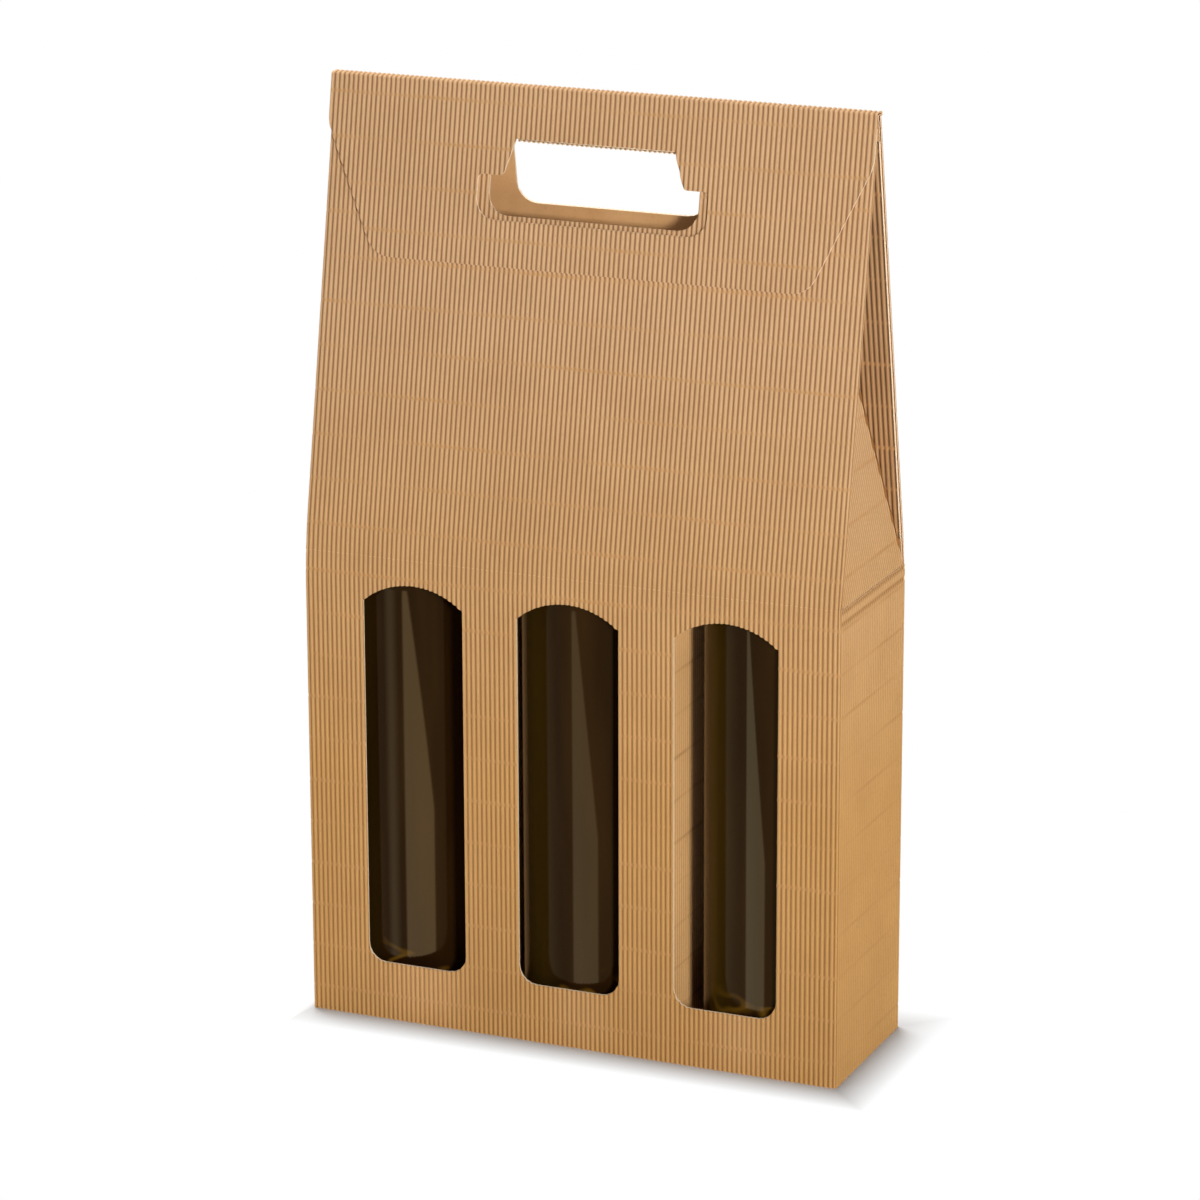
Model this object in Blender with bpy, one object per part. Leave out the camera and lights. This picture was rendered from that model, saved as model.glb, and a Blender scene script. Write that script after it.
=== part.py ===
"""Three-bottle carrier: one creased blank of open-flute board with a gabled, gusseted top.

Frame: +X runs along the width, the windows face -Y, and +Z is up. The origin is the middle of the
base, on the surface that the carrier stands on. All sizes are in metres. The top is shown closed:
the gables lean in, the gussets are folded between them, the flap hangs over the front gable and its
tab is pushed through both gables.
"""

import math

import bmesh
import bpy
from mathutils import Matrix, Vector

# Board and fits
BOARD = 0.0015
FIT = 0.0003
CUT_CLEARANCE = 0.0004
CORNER_STEPS = 5

# Open flutes of the board's outer face
FLUTE_PITCH = 0.00233
FLUTE_DEPTH = 0.0008

# Bottle
BOTTLE_COUNT = 3
BOTTLE_DIAMETER = 0.075
BOTTLE_HEIGHT = 0.312
BOTTLE_BODY_HEIGHT = 0.206
SHOULDER_RISE = 0.036
HEEL_RADIUS = 0.005
PUNT_RADIUS = 0.026
PUNT_HEIGHT = 0.016
NECK_RADIUS = 0.0142
LIP_RADIUS = 0.0149
LIP_HEIGHT = 0.012
GLASS_WALL = 0.003
GLASS_FLOOR = 0.005
BORE_RADIUS = 0.0093
CORK_LENGTH = 0.046
CORK_INSET = 0.001
ULLAGE = 0.011
CAPSULE_ABOVE_SHOULDER = 0.008
CAPSULE_WALL = 0.0005
ROUND_STEPS = 24
SHOULDER_STEPS = 5
SHARP_EDGE = math.radians(35)
MERGE_DISTANCE = 1e-6

# Carton body, sized from the bottles that it holds
CELL_SLACK = 0.0052
DEPTH_SLACK = 0.003
OUTER_BOTTLE_SHIFT = 0.003
SHOULDER_TO_KNEE = 0.0108
GLUE_FLAP_WIDTH = 0.022
GLUE_FLAP_END_GAP = 0.004
DIVIDER_BELOW_KNEE = 0.006
DIVIDER_CORNER = 0.012

# Windows in the front wall
WINDOW_WIDTH = 0.0498
WINDOW_PITCH = 0.0766
WINDOW_SILL = 0.028
WINDOW_BELOW_KNEE = 0.0118
WINDOW_ARCH_RISE = 0.0094
WINDOW_CORNER = 0.0088
ARCH_STEPS = 10

# Snap-lock bottom
TONGUE_HALF_WIDTH = 0.047
TONGUE_SHORT_OF_BACK = 0.017
SHOULDER_REACH = 0.034
BACK_FLAP_SHORT_OF_FRONT = 0.021
BACK_NOTCH_HALF_WIDTH = 0.05
BACK_NOTCH_DEPTH = 0.02
SIDE_FLAP_REACH = 0.068
SIDE_FLAP_TAPER = 0.014
BOTTOM_CORNER = 0.006

# Gable top
HEADROOM = 0.1192
CREST_INNER_GAP = 0.0014
FRONT_TOP_DROP = 0.014
FLAP_GAP = 0.0004
GUSSET_MIDDLE_GAP = 0.0003
MITRE_GAP = 0.0002
GUSSET_TIP_WIDTH = 0.0008

# Top flap
FLAP_HEIGHT = 0.0795
FLAP_SIDE_STRAIGHT = 0.0215
FLAP_END_SLOPE = math.radians(24.5)
FLAP_SHOULDER_RADIUS = 0.022
FLAP_CORNER_RADIUS = 0.0125

# Hand hole and its locking tab
TAB_CREASE_DROP = 0.0244
TAB_SLACK = 0.0026
TAB_SWING_ROOM = 0.0032
NECK_TOP_HALF_WIDTH = 0.0382
NECK_END_HALF_WIDTH = 0.0435
EAR_HALF_WIDTH = 0.0556
EAR_HEIGHT = 0.0198
EAR_CORNER = 0.009
EAR_STEP_CORNER = 0.0025
FRONT_HOLE_HALF_WIDTH = 0.0505
FRONT_HOLE_DROP = 0.0352
BACK_HOLE_HALF_WIDTH = 0.046
BACK_HOLE_DROP = 0.0335
HOLE_CORNER = 0.0095
HOLE_TOP_CORNER = 0.0022

# Sizes that follow from the ones above
CELL_WIDTH = BOTTLE_DIAMETER + 2 * CELL_SLACK
BOTTLE_PITCH = CELL_WIDTH + BOARD
INNER_WIDTH = BOTTLE_COUNT * BOTTLE_PITCH - BOARD
INNER_DEPTH = BOTTLE_DIAMETER + 2 * DEPTH_SLACK
WIDTH = INNER_WIDTH + 2 * BOARD
LAYER = BOARD + FIT
FLOOR_Z = 3 * LAYER
MIDDLE_FLOOR_Z = FLOOR_Z + LAYER
KNEE_Z = MIDDLE_FLOOR_Z + BOTTLE_BODY_HEIGHT + SHOULDER_TO_KNEE
CREST_Z = MIDDLE_FLOOR_Z + BOTTLE_HEIGHT + HEADROOM
CREST_UNDERSIDE_Z = CREST_Z - BOARD
LEAN = math.atan((INNER_DEPTH - CREST_INNER_GAP) / 2 / (CREST_Z - KNEE_Z))
CREST_SLANT = (CREST_Z - KNEE_Z) / math.cos(LEAN)
GUSSET_HEIGHT = CREST_SLANT - FRONT_TOP_DROP
GUSSET_HALF = INNER_DEPTH / 2 - FIT

# Directions that the leaning panels share
RIGHT = Vector((1, 0, 0))
BACK = Vector((0, 1, 0))
UP = Vector((0, 0, 1))
FRONT_SLOPE = Vector((0, math.sin(LEAN), math.cos(LEAN)))
FRONT_NORMAL = Vector((0, -math.cos(LEAN), math.sin(LEAN)))
BACK_SLOPE = Vector((0, -math.sin(LEAN), math.cos(LEAN)))
BACK_NORMAL = Vector((0, math.cos(LEAN), math.sin(LEAN)))

# Colours as linear RGB
FLUTED_KRAFT = (0.56, 0.33, 0.14)
LINER_KRAFT = (0.60, 0.38, 0.19)
GLASS_GREEN = (0.020, 0.016, 0.006)
WINE_RED = (0.020, 0.003, 0.003)
CORK_TAN = (0.45, 0.28, 0.15)
CAPSULE_BLACK = (0.012, 0.011, 0.012)


def clear_scene():
    """Remove every object, so that the part stands alone."""
    for obj in list(bpy.data.objects):
        bpy.data.objects.remove(obj, do_unlink=True)


def make_material(name, colour, roughness, metallic=0.0):
    """Return a Principled material."""
    material = bpy.data.materials.new(name)
    material.use_nodes = True
    shader = material.node_tree.nodes["Principled BSDF"]
    shader.inputs["Base Color"].default_value = (*colour, 1.0)
    shader.inputs["Roughness"].default_value = roughness
    shader.inputs["Metallic"].default_value = metallic
    return material


def panel_frame(origin, up, outward):
    """Return the frame of a panel: Y runs up the panel and Z points out of it."""
    side = up.cross(outward)
    matrix = Matrix.Identity(4)
    for column, axis in enumerate((side, up, outward, origin)):
        for row in range(3):
            matrix[row][column] = axis[row]
    return matrix


def add_object(name, mesh, frame, material, parent=None):
    """Link a mesh as an object that stands in a world frame, under its parent if it has one."""
    mesh.materials.append(material)
    obj = bpy.data.objects.new(name, mesh)
    bpy.context.scene.collection.objects.link(obj)
    obj["frame"] = [value for row in frame for value in row]
    local = frame
    if parent is not None:
        obj.parent = parent
        local = world_frame(parent).inverted() @ frame
    obj.matrix_local = local
    return obj


def world_frame(obj):
    """Return the world frame that an object was placed in."""
    values = list(obj["frame"])
    return Matrix([values[row * 4:row * 4 + 4] for row in range(4)])


def rounded_outline(corners):
    """Return an outline from (x, y, radius) corners, with each radius drawn as an arc."""
    points = []
    count = len(corners)
    for index, (x, y, radius) in enumerate(corners):
        corner = Vector((x, y))
        if radius <= 0:
            points.append(corner)
            continue
        before = (Vector(corners[index - 1][:2]) - corner).normalized()
        after = (Vector(corners[(index + 1) % count][:2]) - corner).normalized()
        half_angle = before.angle(after) / 2
        reach = radius / math.tan(half_angle)
        centre = corner + (before + after).normalized() * radius / math.sin(half_angle)
        start = corner + before * reach - centre
        sweep = start.angle_signed(corner + after * reach - centre)
        for step in range(CORNER_STEPS + 1):
            turn = Matrix.Rotation(-sweep * step / CORNER_STEPS, 2)
            points.append(centre + turn @ start)
    return points


def box_outline(half_width, low, high, radius=0.0):
    """Return a rectangle that is centred across the panel."""
    corners = ((-half_width, low), (half_width, low), (half_width, high), (-half_width, high))
    return rounded_outline([(x, y, radius) for x, y in corners])


def plate_mesh(name, outline, holes=(), low=0.0, high=BOARD, fluted=False):
    """Return a plate with holes, from z = low to z = high of its panel frame."""
    bm = bmesh.new()
    for loop in (outline, *holes):
        verts = [bm.verts.new((point[0], point[1], low)) for point in loop]
        for index, vert in enumerate(verts):
            bm.edges.new((vert, verts[(index + 1) % len(verts)]))
    bmesh.ops.triangle_fill(bm, edges=bm.edges[:], use_beauty=True, normal=(0, 0, 1))
    raised = bmesh.ops.extrude_face_region(bm, geom=bm.faces[:])
    top = [item for item in raised["geom"] if isinstance(item, bmesh.types.BMVert)]
    bmesh.ops.translate(bm, verts=top, vec=(0, 0, high - low))
    if fluted:
        press_flutes(bm, high)
    return finish_mesh(bm, name)


def press_flutes(bm, high):
    """Press open flutes into the face at z = high: crests on whole pitches, valleys between."""

    def outer_faces():
        """Return the faces that lie at z = high."""
        return [
            face for face in bm.faces
            if all(abs(vert.co.z - high) < MERGE_DISTANCE for vert in face.verts)
        ]

    half = FLUTE_PITCH / 2
    across = [vert.co.x for vert in bm.verts]
    for step in range(math.ceil(min(across) / half), math.floor(max(across) / half) + 1):
        faces = outer_faces()
        edges = {edge for face in faces for edge in face.edges}
        verts = {vert for edge in edges for vert in edge.verts}
        bmesh.ops.bisect_plane(
            bm,
            geom=[*verts, *edges, *faces],
            dist=MERGE_DISTANCE,
            plane_co=(step * half, 0, 0),
            plane_no=(1, 0, 0),
        )
    faces = set(outer_faces())
    slanted = [
        edge for edge in bm.edges
        if faces.issuperset(edge.link_faces)
        and abs(edge.verts[0].co.x - edge.verts[1].co.x) > MERGE_DISTANCE
    ]
    bmesh.ops.dissolve_edges(bm, edges=slanted, use_verts=True)
    for vert in {vert for face in outer_faces() for vert in face.verts}:
        pitches = vert.co.x / FLUTE_PITCH
        vert.co.z -= FLUTE_DEPTH * 2 * abs(pitches - round(pitches))


def bevelled_plate_mesh(name, inner, outer):
    """Return a fluted plate whose inner and outer faces have different outlines."""
    bm = bmesh.new()
    low = [bm.verts.new((point[0], point[1], 0.0)) for point in inner]
    high = [bm.verts.new((point[0], point[1], BOARD)) for point in outer]
    bm.faces.new(low)
    bm.faces.new(high)
    for index in range(len(low)):
        following = (index + 1) % len(low)
        bm.faces.new((low[index], low[following], high[following], high[index]))
    press_flutes(bm, BOARD)
    return finish_mesh(bm, name)


def turned_mesh(name, profile):
    """Return a solid of revolution about Z from an (r, z) profile that closes on the axis or itself."""
    bm = bmesh.new()
    verts = [bm.verts.new((radius, 0.0, height)) for radius, height in profile]
    edges = [bm.edges.new(pair) for pair in zip(verts, verts[1:])]
    bmesh.ops.spin(
        bm,
        geom=verts + edges,
        axis=(0, 0, 1),
        cent=(0, 0, 0),
        angle=2 * math.pi,
        steps=ROUND_STEPS,
        use_merge=True,
    )
    bmesh.ops.remove_doubles(bm, verts=bm.verts[:], dist=MERGE_DISTANCE)
    mesh = finish_mesh(bm, name)
    mesh.shade_smooth()
    mesh.set_sharp_from_angle(angle=SHARP_EDGE)
    return mesh


def finish_mesh(bm, name):
    """Point the faces outward and hand the mesh over."""
    bmesh.ops.recalc_face_normals(bm, faces=bm.faces[:])
    mesh = bpy.data.meshes.new(name)
    bm.to_mesh(mesh)
    bm.free()
    return mesh


def window_outline(centre):
    """Return a window: straight sides, rounded sill corners and a low arched head."""
    half = WINDOW_WIDTH / 2
    spring = KNEE_Z - WINDOW_BELOW_KNEE - WINDOW_ARCH_RISE
    radius = (half ** 2 + WINDOW_ARCH_RISE ** 2) / (2 * WINDOW_ARCH_RISE)
    half_sweep = math.asin(half / radius)
    sill = rounded_outline(
        [
            (-half, spring, 0),
            (-half, WINDOW_SILL, WINDOW_CORNER),
            (half, WINDOW_SILL, WINDOW_CORNER),
            (half, spring, 0),
        ]
    )
    head = []
    for step in range(1, ARCH_STEPS):
        angle = half_sweep * (1 - 2 * step / ARCH_STEPS)
        rise = radius * (math.cos(angle) - math.cos(half_sweep))
        head.append(Vector((radius * math.sin(angle), spring + rise)))
    return [point + Vector((centre, 0)) for point in sill + head]


def build_walls():
    """Build the four upright walls and the glue flap inside the back left corner."""
    top = KNEE_Z - FIT / 2
    windows = [
        window_outline((index - (BOTTLE_COUNT - 1) / 2) * WINDOW_PITCH)
        for index in range(BOTTLE_COUNT)
    ]
    for name, side, holes in (("front_wall", -1, windows), ("back_wall", 1, ())):
        outline = box_outline(WIDTH / 2, 0.0, top)
        frame = panel_frame(BACK * side * INNER_DEPTH / 2, UP, BACK * side)
        material = make_material(name + "_board", FLUTED_KRAFT, 0.9)
        add_object(name, plate_mesh(name, outline, holes, fluted=True), frame, material)
    for name, side in (("left_wall", -1), ("right_wall", 1)):
        outline = box_outline(INNER_DEPTH / 2 - FIT, 0.0, top)
        frame = panel_frame(RIGHT * side * INNER_WIDTH / 2, UP, RIGHT * side)
        material = make_material(name + "_board", FLUTED_KRAFT, 0.9)
        add_object(name, plate_mesh(name, outline, fluted=True), frame, material)
    build_glue_flap()


def build_glue_flap():
    """Build the strip that runs from the left wall along the inside of the back wall."""
    low = FLOOR_Z
    high = KNEE_Z - GLUE_FLAP_END_GAP
    end_taper = GLUE_FLAP_END_GAP
    corners = [
        (0, low, 0),
        (GLUE_FLAP_WIDTH, low + end_taper, 0),
        (GLUE_FLAP_WIDTH, high - end_taper, 0),
        (0, high, 0),
    ]
    origin = Vector((-INNER_WIDTH / 2 + FIT, INNER_DEPTH / 2 - FIT - BOARD, 0))
    outline = rounded_outline([(-x, y, radius) for x, y, radius in reversed(corners)])
    frame = panel_frame(origin, UP, BACK)
    mesh = plate_mesh("glue_flap", outline)
    add_object("glue_flap", mesh, frame, make_material("glue_flap_board", LINER_KRAFT, 0.9))


def front_bottom_outline():
    """Return the outer bottom flap: full width at its crease, then a tongue."""
    half = INNER_WIDTH / 2 - FIT
    reach = INNER_DEPTH - TONGUE_SHORT_OF_BACK
    slope = (reach - SHOULDER_REACH) / 2
    side = [
        (half, FIT, 0),
        (half, SHOULDER_REACH, BOTTOM_CORNER),
        (TONGUE_HALF_WIDTH + slope, SHOULDER_REACH, BOTTOM_CORNER),
        (TONGUE_HALF_WIDTH, reach, BOTTOM_CORNER),
    ]
    return rounded_outline(side + [(-x, y, radius) for x, y, radius in reversed(side)])


def back_bottom_outline():
    """Return the inner bottom flap, with the notch that the tongue hooks into."""
    half = INNER_WIDTH / 2 - FIT
    reach = INNER_DEPTH - BACK_FLAP_SHORT_OF_FRONT
    side = [
        (half, FIT, 0),
        (half, reach, BOTTOM_CORNER),
        (BACK_NOTCH_HALF_WIDTH, reach, BOTTOM_CORNER),
        (BACK_NOTCH_HALF_WIDTH, reach - BACK_NOTCH_DEPTH, BOTTOM_CORNER),
    ]
    return rounded_outline(side + [(-x, y, radius) for x, y, radius in reversed(side)])


def side_bottom_outline():
    """Return one of the two small bottom flaps, tapered so that it clears its neighbours."""
    half = INNER_DEPTH / 2 - FIT
    side = [
        (half, FIT, 0),
        (half - SIDE_FLAP_TAPER, SIDE_FLAP_REACH, BOTTOM_CORNER),
    ]
    return rounded_outline(side + [(-x, y, radius) for x, y, radius in reversed(side)])


def build_bottom():
    """Build the snap-lock bottom: three layers of flaps that lie on each other."""
    half_width = INNER_WIDTH / 2
    half_depth = INNER_DEPTH / 2
    flaps = (
        ("front_bottom_flap", 0, -BACK * half_depth, BACK, front_bottom_outline()),
        ("left_bottom_flap", 1, -RIGHT * half_width, RIGHT, side_bottom_outline()),
        ("right_bottom_flap", 1, RIGHT * half_width, -RIGHT, side_bottom_outline()),
        ("back_bottom_flap", 2, BACK * half_depth, -BACK, back_bottom_outline()),
    )
    for name, layer, crease, inward, outline in flaps:
        frame = panel_frame(crease + UP * layer * LAYER, inward, UP)
        material = make_material(name + "_board", LINER_KRAFT, 0.9)
        add_object(name, plate_mesh(name, outline), frame, material)


def build_insert():
    """Build the folded insert: a divider on each side of the middle cell and a strip between them."""
    high = KNEE_Z - DIVIDER_BELOW_KNEE
    half = INNER_DEPTH / 2 - FIT
    outline = rounded_outline(
        [
            (-half, FLOOR_Z, 0),
            (half, FLOOR_Z, 0),
            (half, high, DIVIDER_CORNER),
            (-half, high, DIVIDER_CORNER),
        ]
    )
    for name, side in (("left_divider", -1), ("right_divider", 1)):
        frame = panel_frame(RIGHT * side * CELL_WIDTH / 2, UP, RIGHT * side)
        material = make_material(name + "_board", LINER_KRAFT, 0.9)
        add_object(name, plate_mesh(name, outline), frame, material)
    strip = box_outline(CELL_WIDTH / 2 - FIT, -half, half)
    frame = panel_frame(UP * FLOOR_Z, BACK, UP)
    material = make_material("insert_base_board", LINER_KRAFT, 0.9)
    add_object("insert_base", plate_mesh("insert_base", strip), frame, material)


def slant_at(height):
    """Return how far up a gable's inner face a world height lies."""
    return (height - KNEE_Z) / math.cos(LEAN)


def hole_outline(half_width, top, height):
    """Return a hand hole whose top corners are tight and whose bottom corners are round."""
    return rounded_outline(
        [
            (-half_width, top - height, HOLE_CORNER),
            (half_width, top - height, HOLE_CORNER),
            (half_width, top, HOLE_TOP_CORNER),
            (-half_width, top, HOLE_TOP_CORNER),
        ]
    )


def tab_crease_point():
    """Return the middle of the crease that the tab folds on, at the flap's inner face."""
    inner_face = BOARD + FLAP_GAP
    up_slope = CREST_SLANT - TAB_CREASE_DROP
    knee = Vector((0, -INNER_DEPTH / 2, KNEE_Z))
    return knee + FRONT_SLOPE * up_slope + FRONT_NORMAL * inner_face


def back_face_y(height):
    """Return the y of the back gable's outer face at a world height."""
    inner = INNER_DEPTH / 2 - (height - KNEE_Z) * math.tan(LEAN)
    return inner + BOARD / math.cos(LEAN)


def tab_neck_length():
    """Return the length of the tab from its crease to its ears, which sit behind the back gable."""
    crease = tab_crease_point()
    ears = back_face_y(crease.z) + FIT / math.cos(LEAN) + TAB_SLACK
    return ears - crease.y


def build_gables():
    """Build the front and back gables on their knee creases and return them."""
    tab_top = slant_at(tab_crease_point().z + FIT)
    front_top = tab_top + TAB_SWING_ROOM
    front_low = tab_top - FRONT_HOLE_DROP
    front_hole = hole_outline(FRONT_HOLE_HALF_WIDTH, front_top, front_top - front_low)
    back_hole = hole_outline(BACK_HOLE_HALF_WIDTH, tab_top, BACK_HOLE_DROP)
    back_top = slant_at(CREST_UNDERSIDE_Z - FIT - BOARD * math.sin(LEAN))
    knee = BACK * INNER_DEPTH / 2
    gables = {}
    for name, origin, slope, normal, top, hole in (
        ("front_gable", UP * KNEE_Z - knee, FRONT_SLOPE, FRONT_NORMAL, GUSSET_HEIGHT, front_hole),
        ("back_gable", UP * KNEE_Z + knee, BACK_SLOPE, BACK_NORMAL, back_top, back_hole),
    ):
        outline = box_outline(WIDTH / 2, FIT / 2, top)
        mesh = plate_mesh(name, outline, [hole], fluted=True)
        material = make_material(name + "_board", FLUTED_KRAFT, 0.9)
        gables[name] = add_object(name, mesh, panel_frame(origin, slope, normal), material)
    return gables


def centre_fold_angle():
    """Return how far the gusset centre leans in from upright when the top is closed."""
    ratio = GUSSET_HALF / GUSSET_HEIGHT
    return math.acos((1 - ratio * math.sin(LEAN)) / math.cos(LEAN))


def half_fold_angle():
    """Return how far a gusset half turns in from the side, until it all but meets its twin."""
    at_top = INNER_DEPTH / 2 - GUSSET_HEIGHT * math.sin(LEAN)
    room = at_top - (FIT + BOARD) * math.cos(LEAN) - GUSSET_MIDDLE_GAP / 2
    return math.acos(room / (GUSSET_HALF * math.cos(LEAN)))


def gusset_vectors():
    """Return the right front half's direction and normal, and the right centre's slope and normal."""
    turn = half_fold_angle()
    inward = -FRONT_NORMAL
    direction = inward * math.cos(turn) - RIGHT * math.sin(turn)
    half_normal = RIGHT * math.cos(turn) + inward * math.sin(turn)
    tilt = centre_fold_angle()
    centre_slope = UP * math.cos(tilt) - RIGHT * math.sin(tilt)
    centre_normal = RIGHT * math.cos(tilt) + UP * math.sin(tilt)
    return direction, half_normal, centre_slope, centre_normal


def mitre_setbacks():
    """Return the setbacks, across the panel, of the diagonal edge on the inner and outer faces."""
    _, half_normal, _, centre_normal = gusset_vectors()
    dihedral = math.pi - half_normal.angle(centre_normal)
    diagonal = math.atan(GUSSET_HALF / GUSSET_HEIGHT)
    inner = MITRE_GAP / math.cos(diagonal)
    outer = (MITRE_GAP + BOARD / math.tan(dihedral / 2)) / math.cos(diagonal)
    return inner, outer


def gusset_half_outline(setback):
    """Return one face of a gusset half: crease edge, top edge and the mitred diagonal."""
    rise = GUSSET_HALF / GUSSET_HEIGHT
    low = (setback + GUSSET_TIP_WIDTH) / rise
    return [
        (0.0, low),
        (GUSSET_TIP_WIDTH, low),
        (GUSSET_HALF - setback, GUSSET_HEIGHT),
        (0.0, GUSSET_HEIGHT),
    ]


def gusset_centre_outline(setback):
    """Return one face of a gusset centre: a tall triangle with its tip cut square."""
    rise = GUSSET_HALF / GUSSET_HEIGHT
    low = FIT / 2
    base = GUSSET_HALF - setback - low * rise
    high = GUSSET_HEIGHT - (setback + GUSSET_TIP_WIDTH) / rise
    return [(-base, low), (base, low), (GUSSET_TIP_WIDTH, high), (-GUSSET_TIP_WIDTH, high)]


def build_gussets(gables):
    """Build the folded gussets: on each side a centre on its wall and a half on each gable."""
    direction, half_normal, centre_slope, centre_normal = gusset_vectors()
    inner, outer = mitre_setbacks()
    knee_corner = Vector((INNER_WIDTH / 2, -INNER_DEPTH / 2, KNEE_Z)) - FRONT_NORMAL * FIT
    for side_name, side in (("left", -1), ("right", 1)):
        name = side_name + "_gusset_centre"
        mesh = bevelled_plate_mesh(name, gusset_centre_outline(inner), gusset_centre_outline(outer))
        slope = Vector((centre_slope.x * side, 0, centre_slope.z))
        normal = Vector((centre_normal.x * side, 0, centre_normal.z))
        frame = panel_frame(Vector((side * INNER_WIDTH / 2, 0, KNEE_Z)), slope, normal)
        add_object(name, mesh, frame, make_material(name + "_board", FLUTED_KRAFT, 0.9))
        for end_name, end in (("front", 1), ("back", -1)):
            flip = Matrix.Diagonal((side, end, 1))
            normal = flip @ half_normal
            slope = FRONT_SLOPE if end > 0 else BACK_SLOPE
            frame = panel_frame(flip @ knee_corner, slope, normal)
            across = slope.cross(normal).dot(flip @ direction)
            turn = 1 if across > 0 else -1
            outlines = [
                [(x * turn, y) for x, y in gusset_half_outline(setback)]
                for setback in (inner, outer)
            ]
            name = side_name + "_gusset_" + end_name
            parent = gables[end_name + "_gable"]
            mesh = bevelled_plate_mesh(name, *outlines)
            material = make_material(name + "_board", FLUTED_KRAFT, 0.9)
            add_object(name, mesh, frame, material, parent)


def flap_hinge_point():
    """Return the middle of the crest's front crease, at the flap's outer face."""
    outer_face = 2 * BOARD + FLAP_GAP
    hinge_z = CREST_UNDERSIDE_Z - FIT
    up_slope = (hinge_z - KNEE_Z - outer_face * math.sin(LEAN)) / math.cos(LEAN)
    knee = Vector((0, -INNER_DEPTH / 2, KNEE_Z))
    return knee + FRONT_SLOPE * up_slope + FRONT_NORMAL * outer_face


def build_crest(back_gable):
    """Build the narrow strip over the stacked top edges, hinged on the back gable."""
    hinge_z = CREST_UNDERSIDE_Z - FIT
    hinge = Vector((0, back_face_y(hinge_z), hinge_z))
    depth = hinge.y - flap_hinge_point().y - FIT
    half = WIDTH / 2
    outline = [(-half, 0.0), (half, 0.0), (half, depth), (-half, depth)]
    mesh = plate_mesh("crest_strip", outline, low=FIT, high=LAYER)
    frame = panel_frame(hinge, -BACK, UP)
    material = make_material("crest_strip_board", FLUTED_KRAFT, 0.9)
    return add_object("crest_strip", mesh, frame, material, back_gable)


def tab_outline(step, bottom, clearance=0.0):
    """Return the T of the tab, downward from its crease at y = 0, drawn in by a clearance."""
    neck_top = NECK_TOP_HALF_WIDTH - clearance
    neck_end = NECK_END_HALF_WIDTH - clearance
    ear = EAR_HALF_WIDTH - clearance
    side = [
        (neck_top, 0, 0),
        (neck_end, -step - clearance, EAR_STEP_CORNER),
        (ear, -step - clearance, EAR_STEP_CORNER),
        (ear, -bottom + clearance, EAR_CORNER),
    ]
    return rounded_outline(side + [(-x, y, radius) for x, y, radius in reversed(side)])


def build_flap(crest):
    """Build the top flap, with slanted ends and the T-shaped hole that its tab is cut from."""
    hinge = flap_hinge_point()
    half = WIDTH / 2
    run = (FLAP_HEIGHT - FLAP_SIDE_STRAIGHT) * math.tan(FLAP_END_SLOPE)
    side = [
        (half, 0, 0),
        (half, -FLAP_SIDE_STRAIGHT, FLAP_SHOULDER_RADIUS),
        (half - run, -FLAP_HEIGHT, FLAP_CORNER_RADIUS),
    ]
    outline = rounded_outline(side + [(-x, y, radius) for x, y, radius in reversed(side)])
    crease_drop = (hinge - tab_crease_point()).dot(FRONT_SLOPE)
    neck = tab_neck_length()
    bottom = neck + EAR_HEIGHT + CUT_CLEARANCE
    hole = [point - Vector((0, crease_drop)) for point in tab_outline(neck, bottom)]
    mesh = plate_mesh("top_flap", outline, [hole], low=-BOARD, high=0.0, fluted=True)
    frame = panel_frame(hinge, FRONT_SLOPE, FRONT_NORMAL)
    material = make_material("top_flap_board", FLUTED_KRAFT, 0.9)
    return add_object("top_flap", mesh, frame, material, crest)


def build_tab(flap):
    """Build the lock tab: a neck through both gables and a pair of ears behind the back one."""
    crease = tab_crease_point()
    length = tab_neck_length()
    near = NECK_TOP_HALF_WIDTH - CUT_CLEARANCE
    far = NECK_END_HALF_WIDTH - CUT_CLEARANCE
    end = length - FIT / 2
    outline = [(-near, FIT), (near, FIT), (far, end), (-far, end)]
    frame = panel_frame(crease, BACK, -UP)
    material = make_material("lock_tab_board", FLUTED_KRAFT, 0.9)
    neck = add_object("lock_tab", plate_mesh("lock_tab", outline), frame, material, flap)

    half = EAR_HALF_WIDTH - CUT_CLEARANCE
    ears = rounded_outline(
        [
            (-half, FIT / 2, EAR_STEP_CORNER),
            (half, FIT / 2, EAR_STEP_CORNER),
            (half, EAR_HEIGHT, EAR_CORNER),
            (-half, EAR_HEIGHT, EAR_CORNER),
        ]
    )
    frame = panel_frame(crease + BACK * length, BACK_SLOPE, BACK_NORMAL)
    material = make_material("lock_tab_ears_board", FLUTED_KRAFT, 0.9)
    add_object("lock_tab_ears", plate_mesh("lock_tab_ears", ears), frame, material, neck)


def shoulder_points(body_radius, neck_radius, base, rise):
    """Return the curve of a bottle's shoulder, from its body up to its neck."""
    points = []
    for step in range(SHOULDER_STEPS + 1):
        share = step / SHOULDER_STEPS
        blend = (1 + math.cos(math.pi * share)) / 2
        radius = neck_radius + (body_radius - neck_radius) * blend
        points.append((radius, base + rise * share))
    return points


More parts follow.
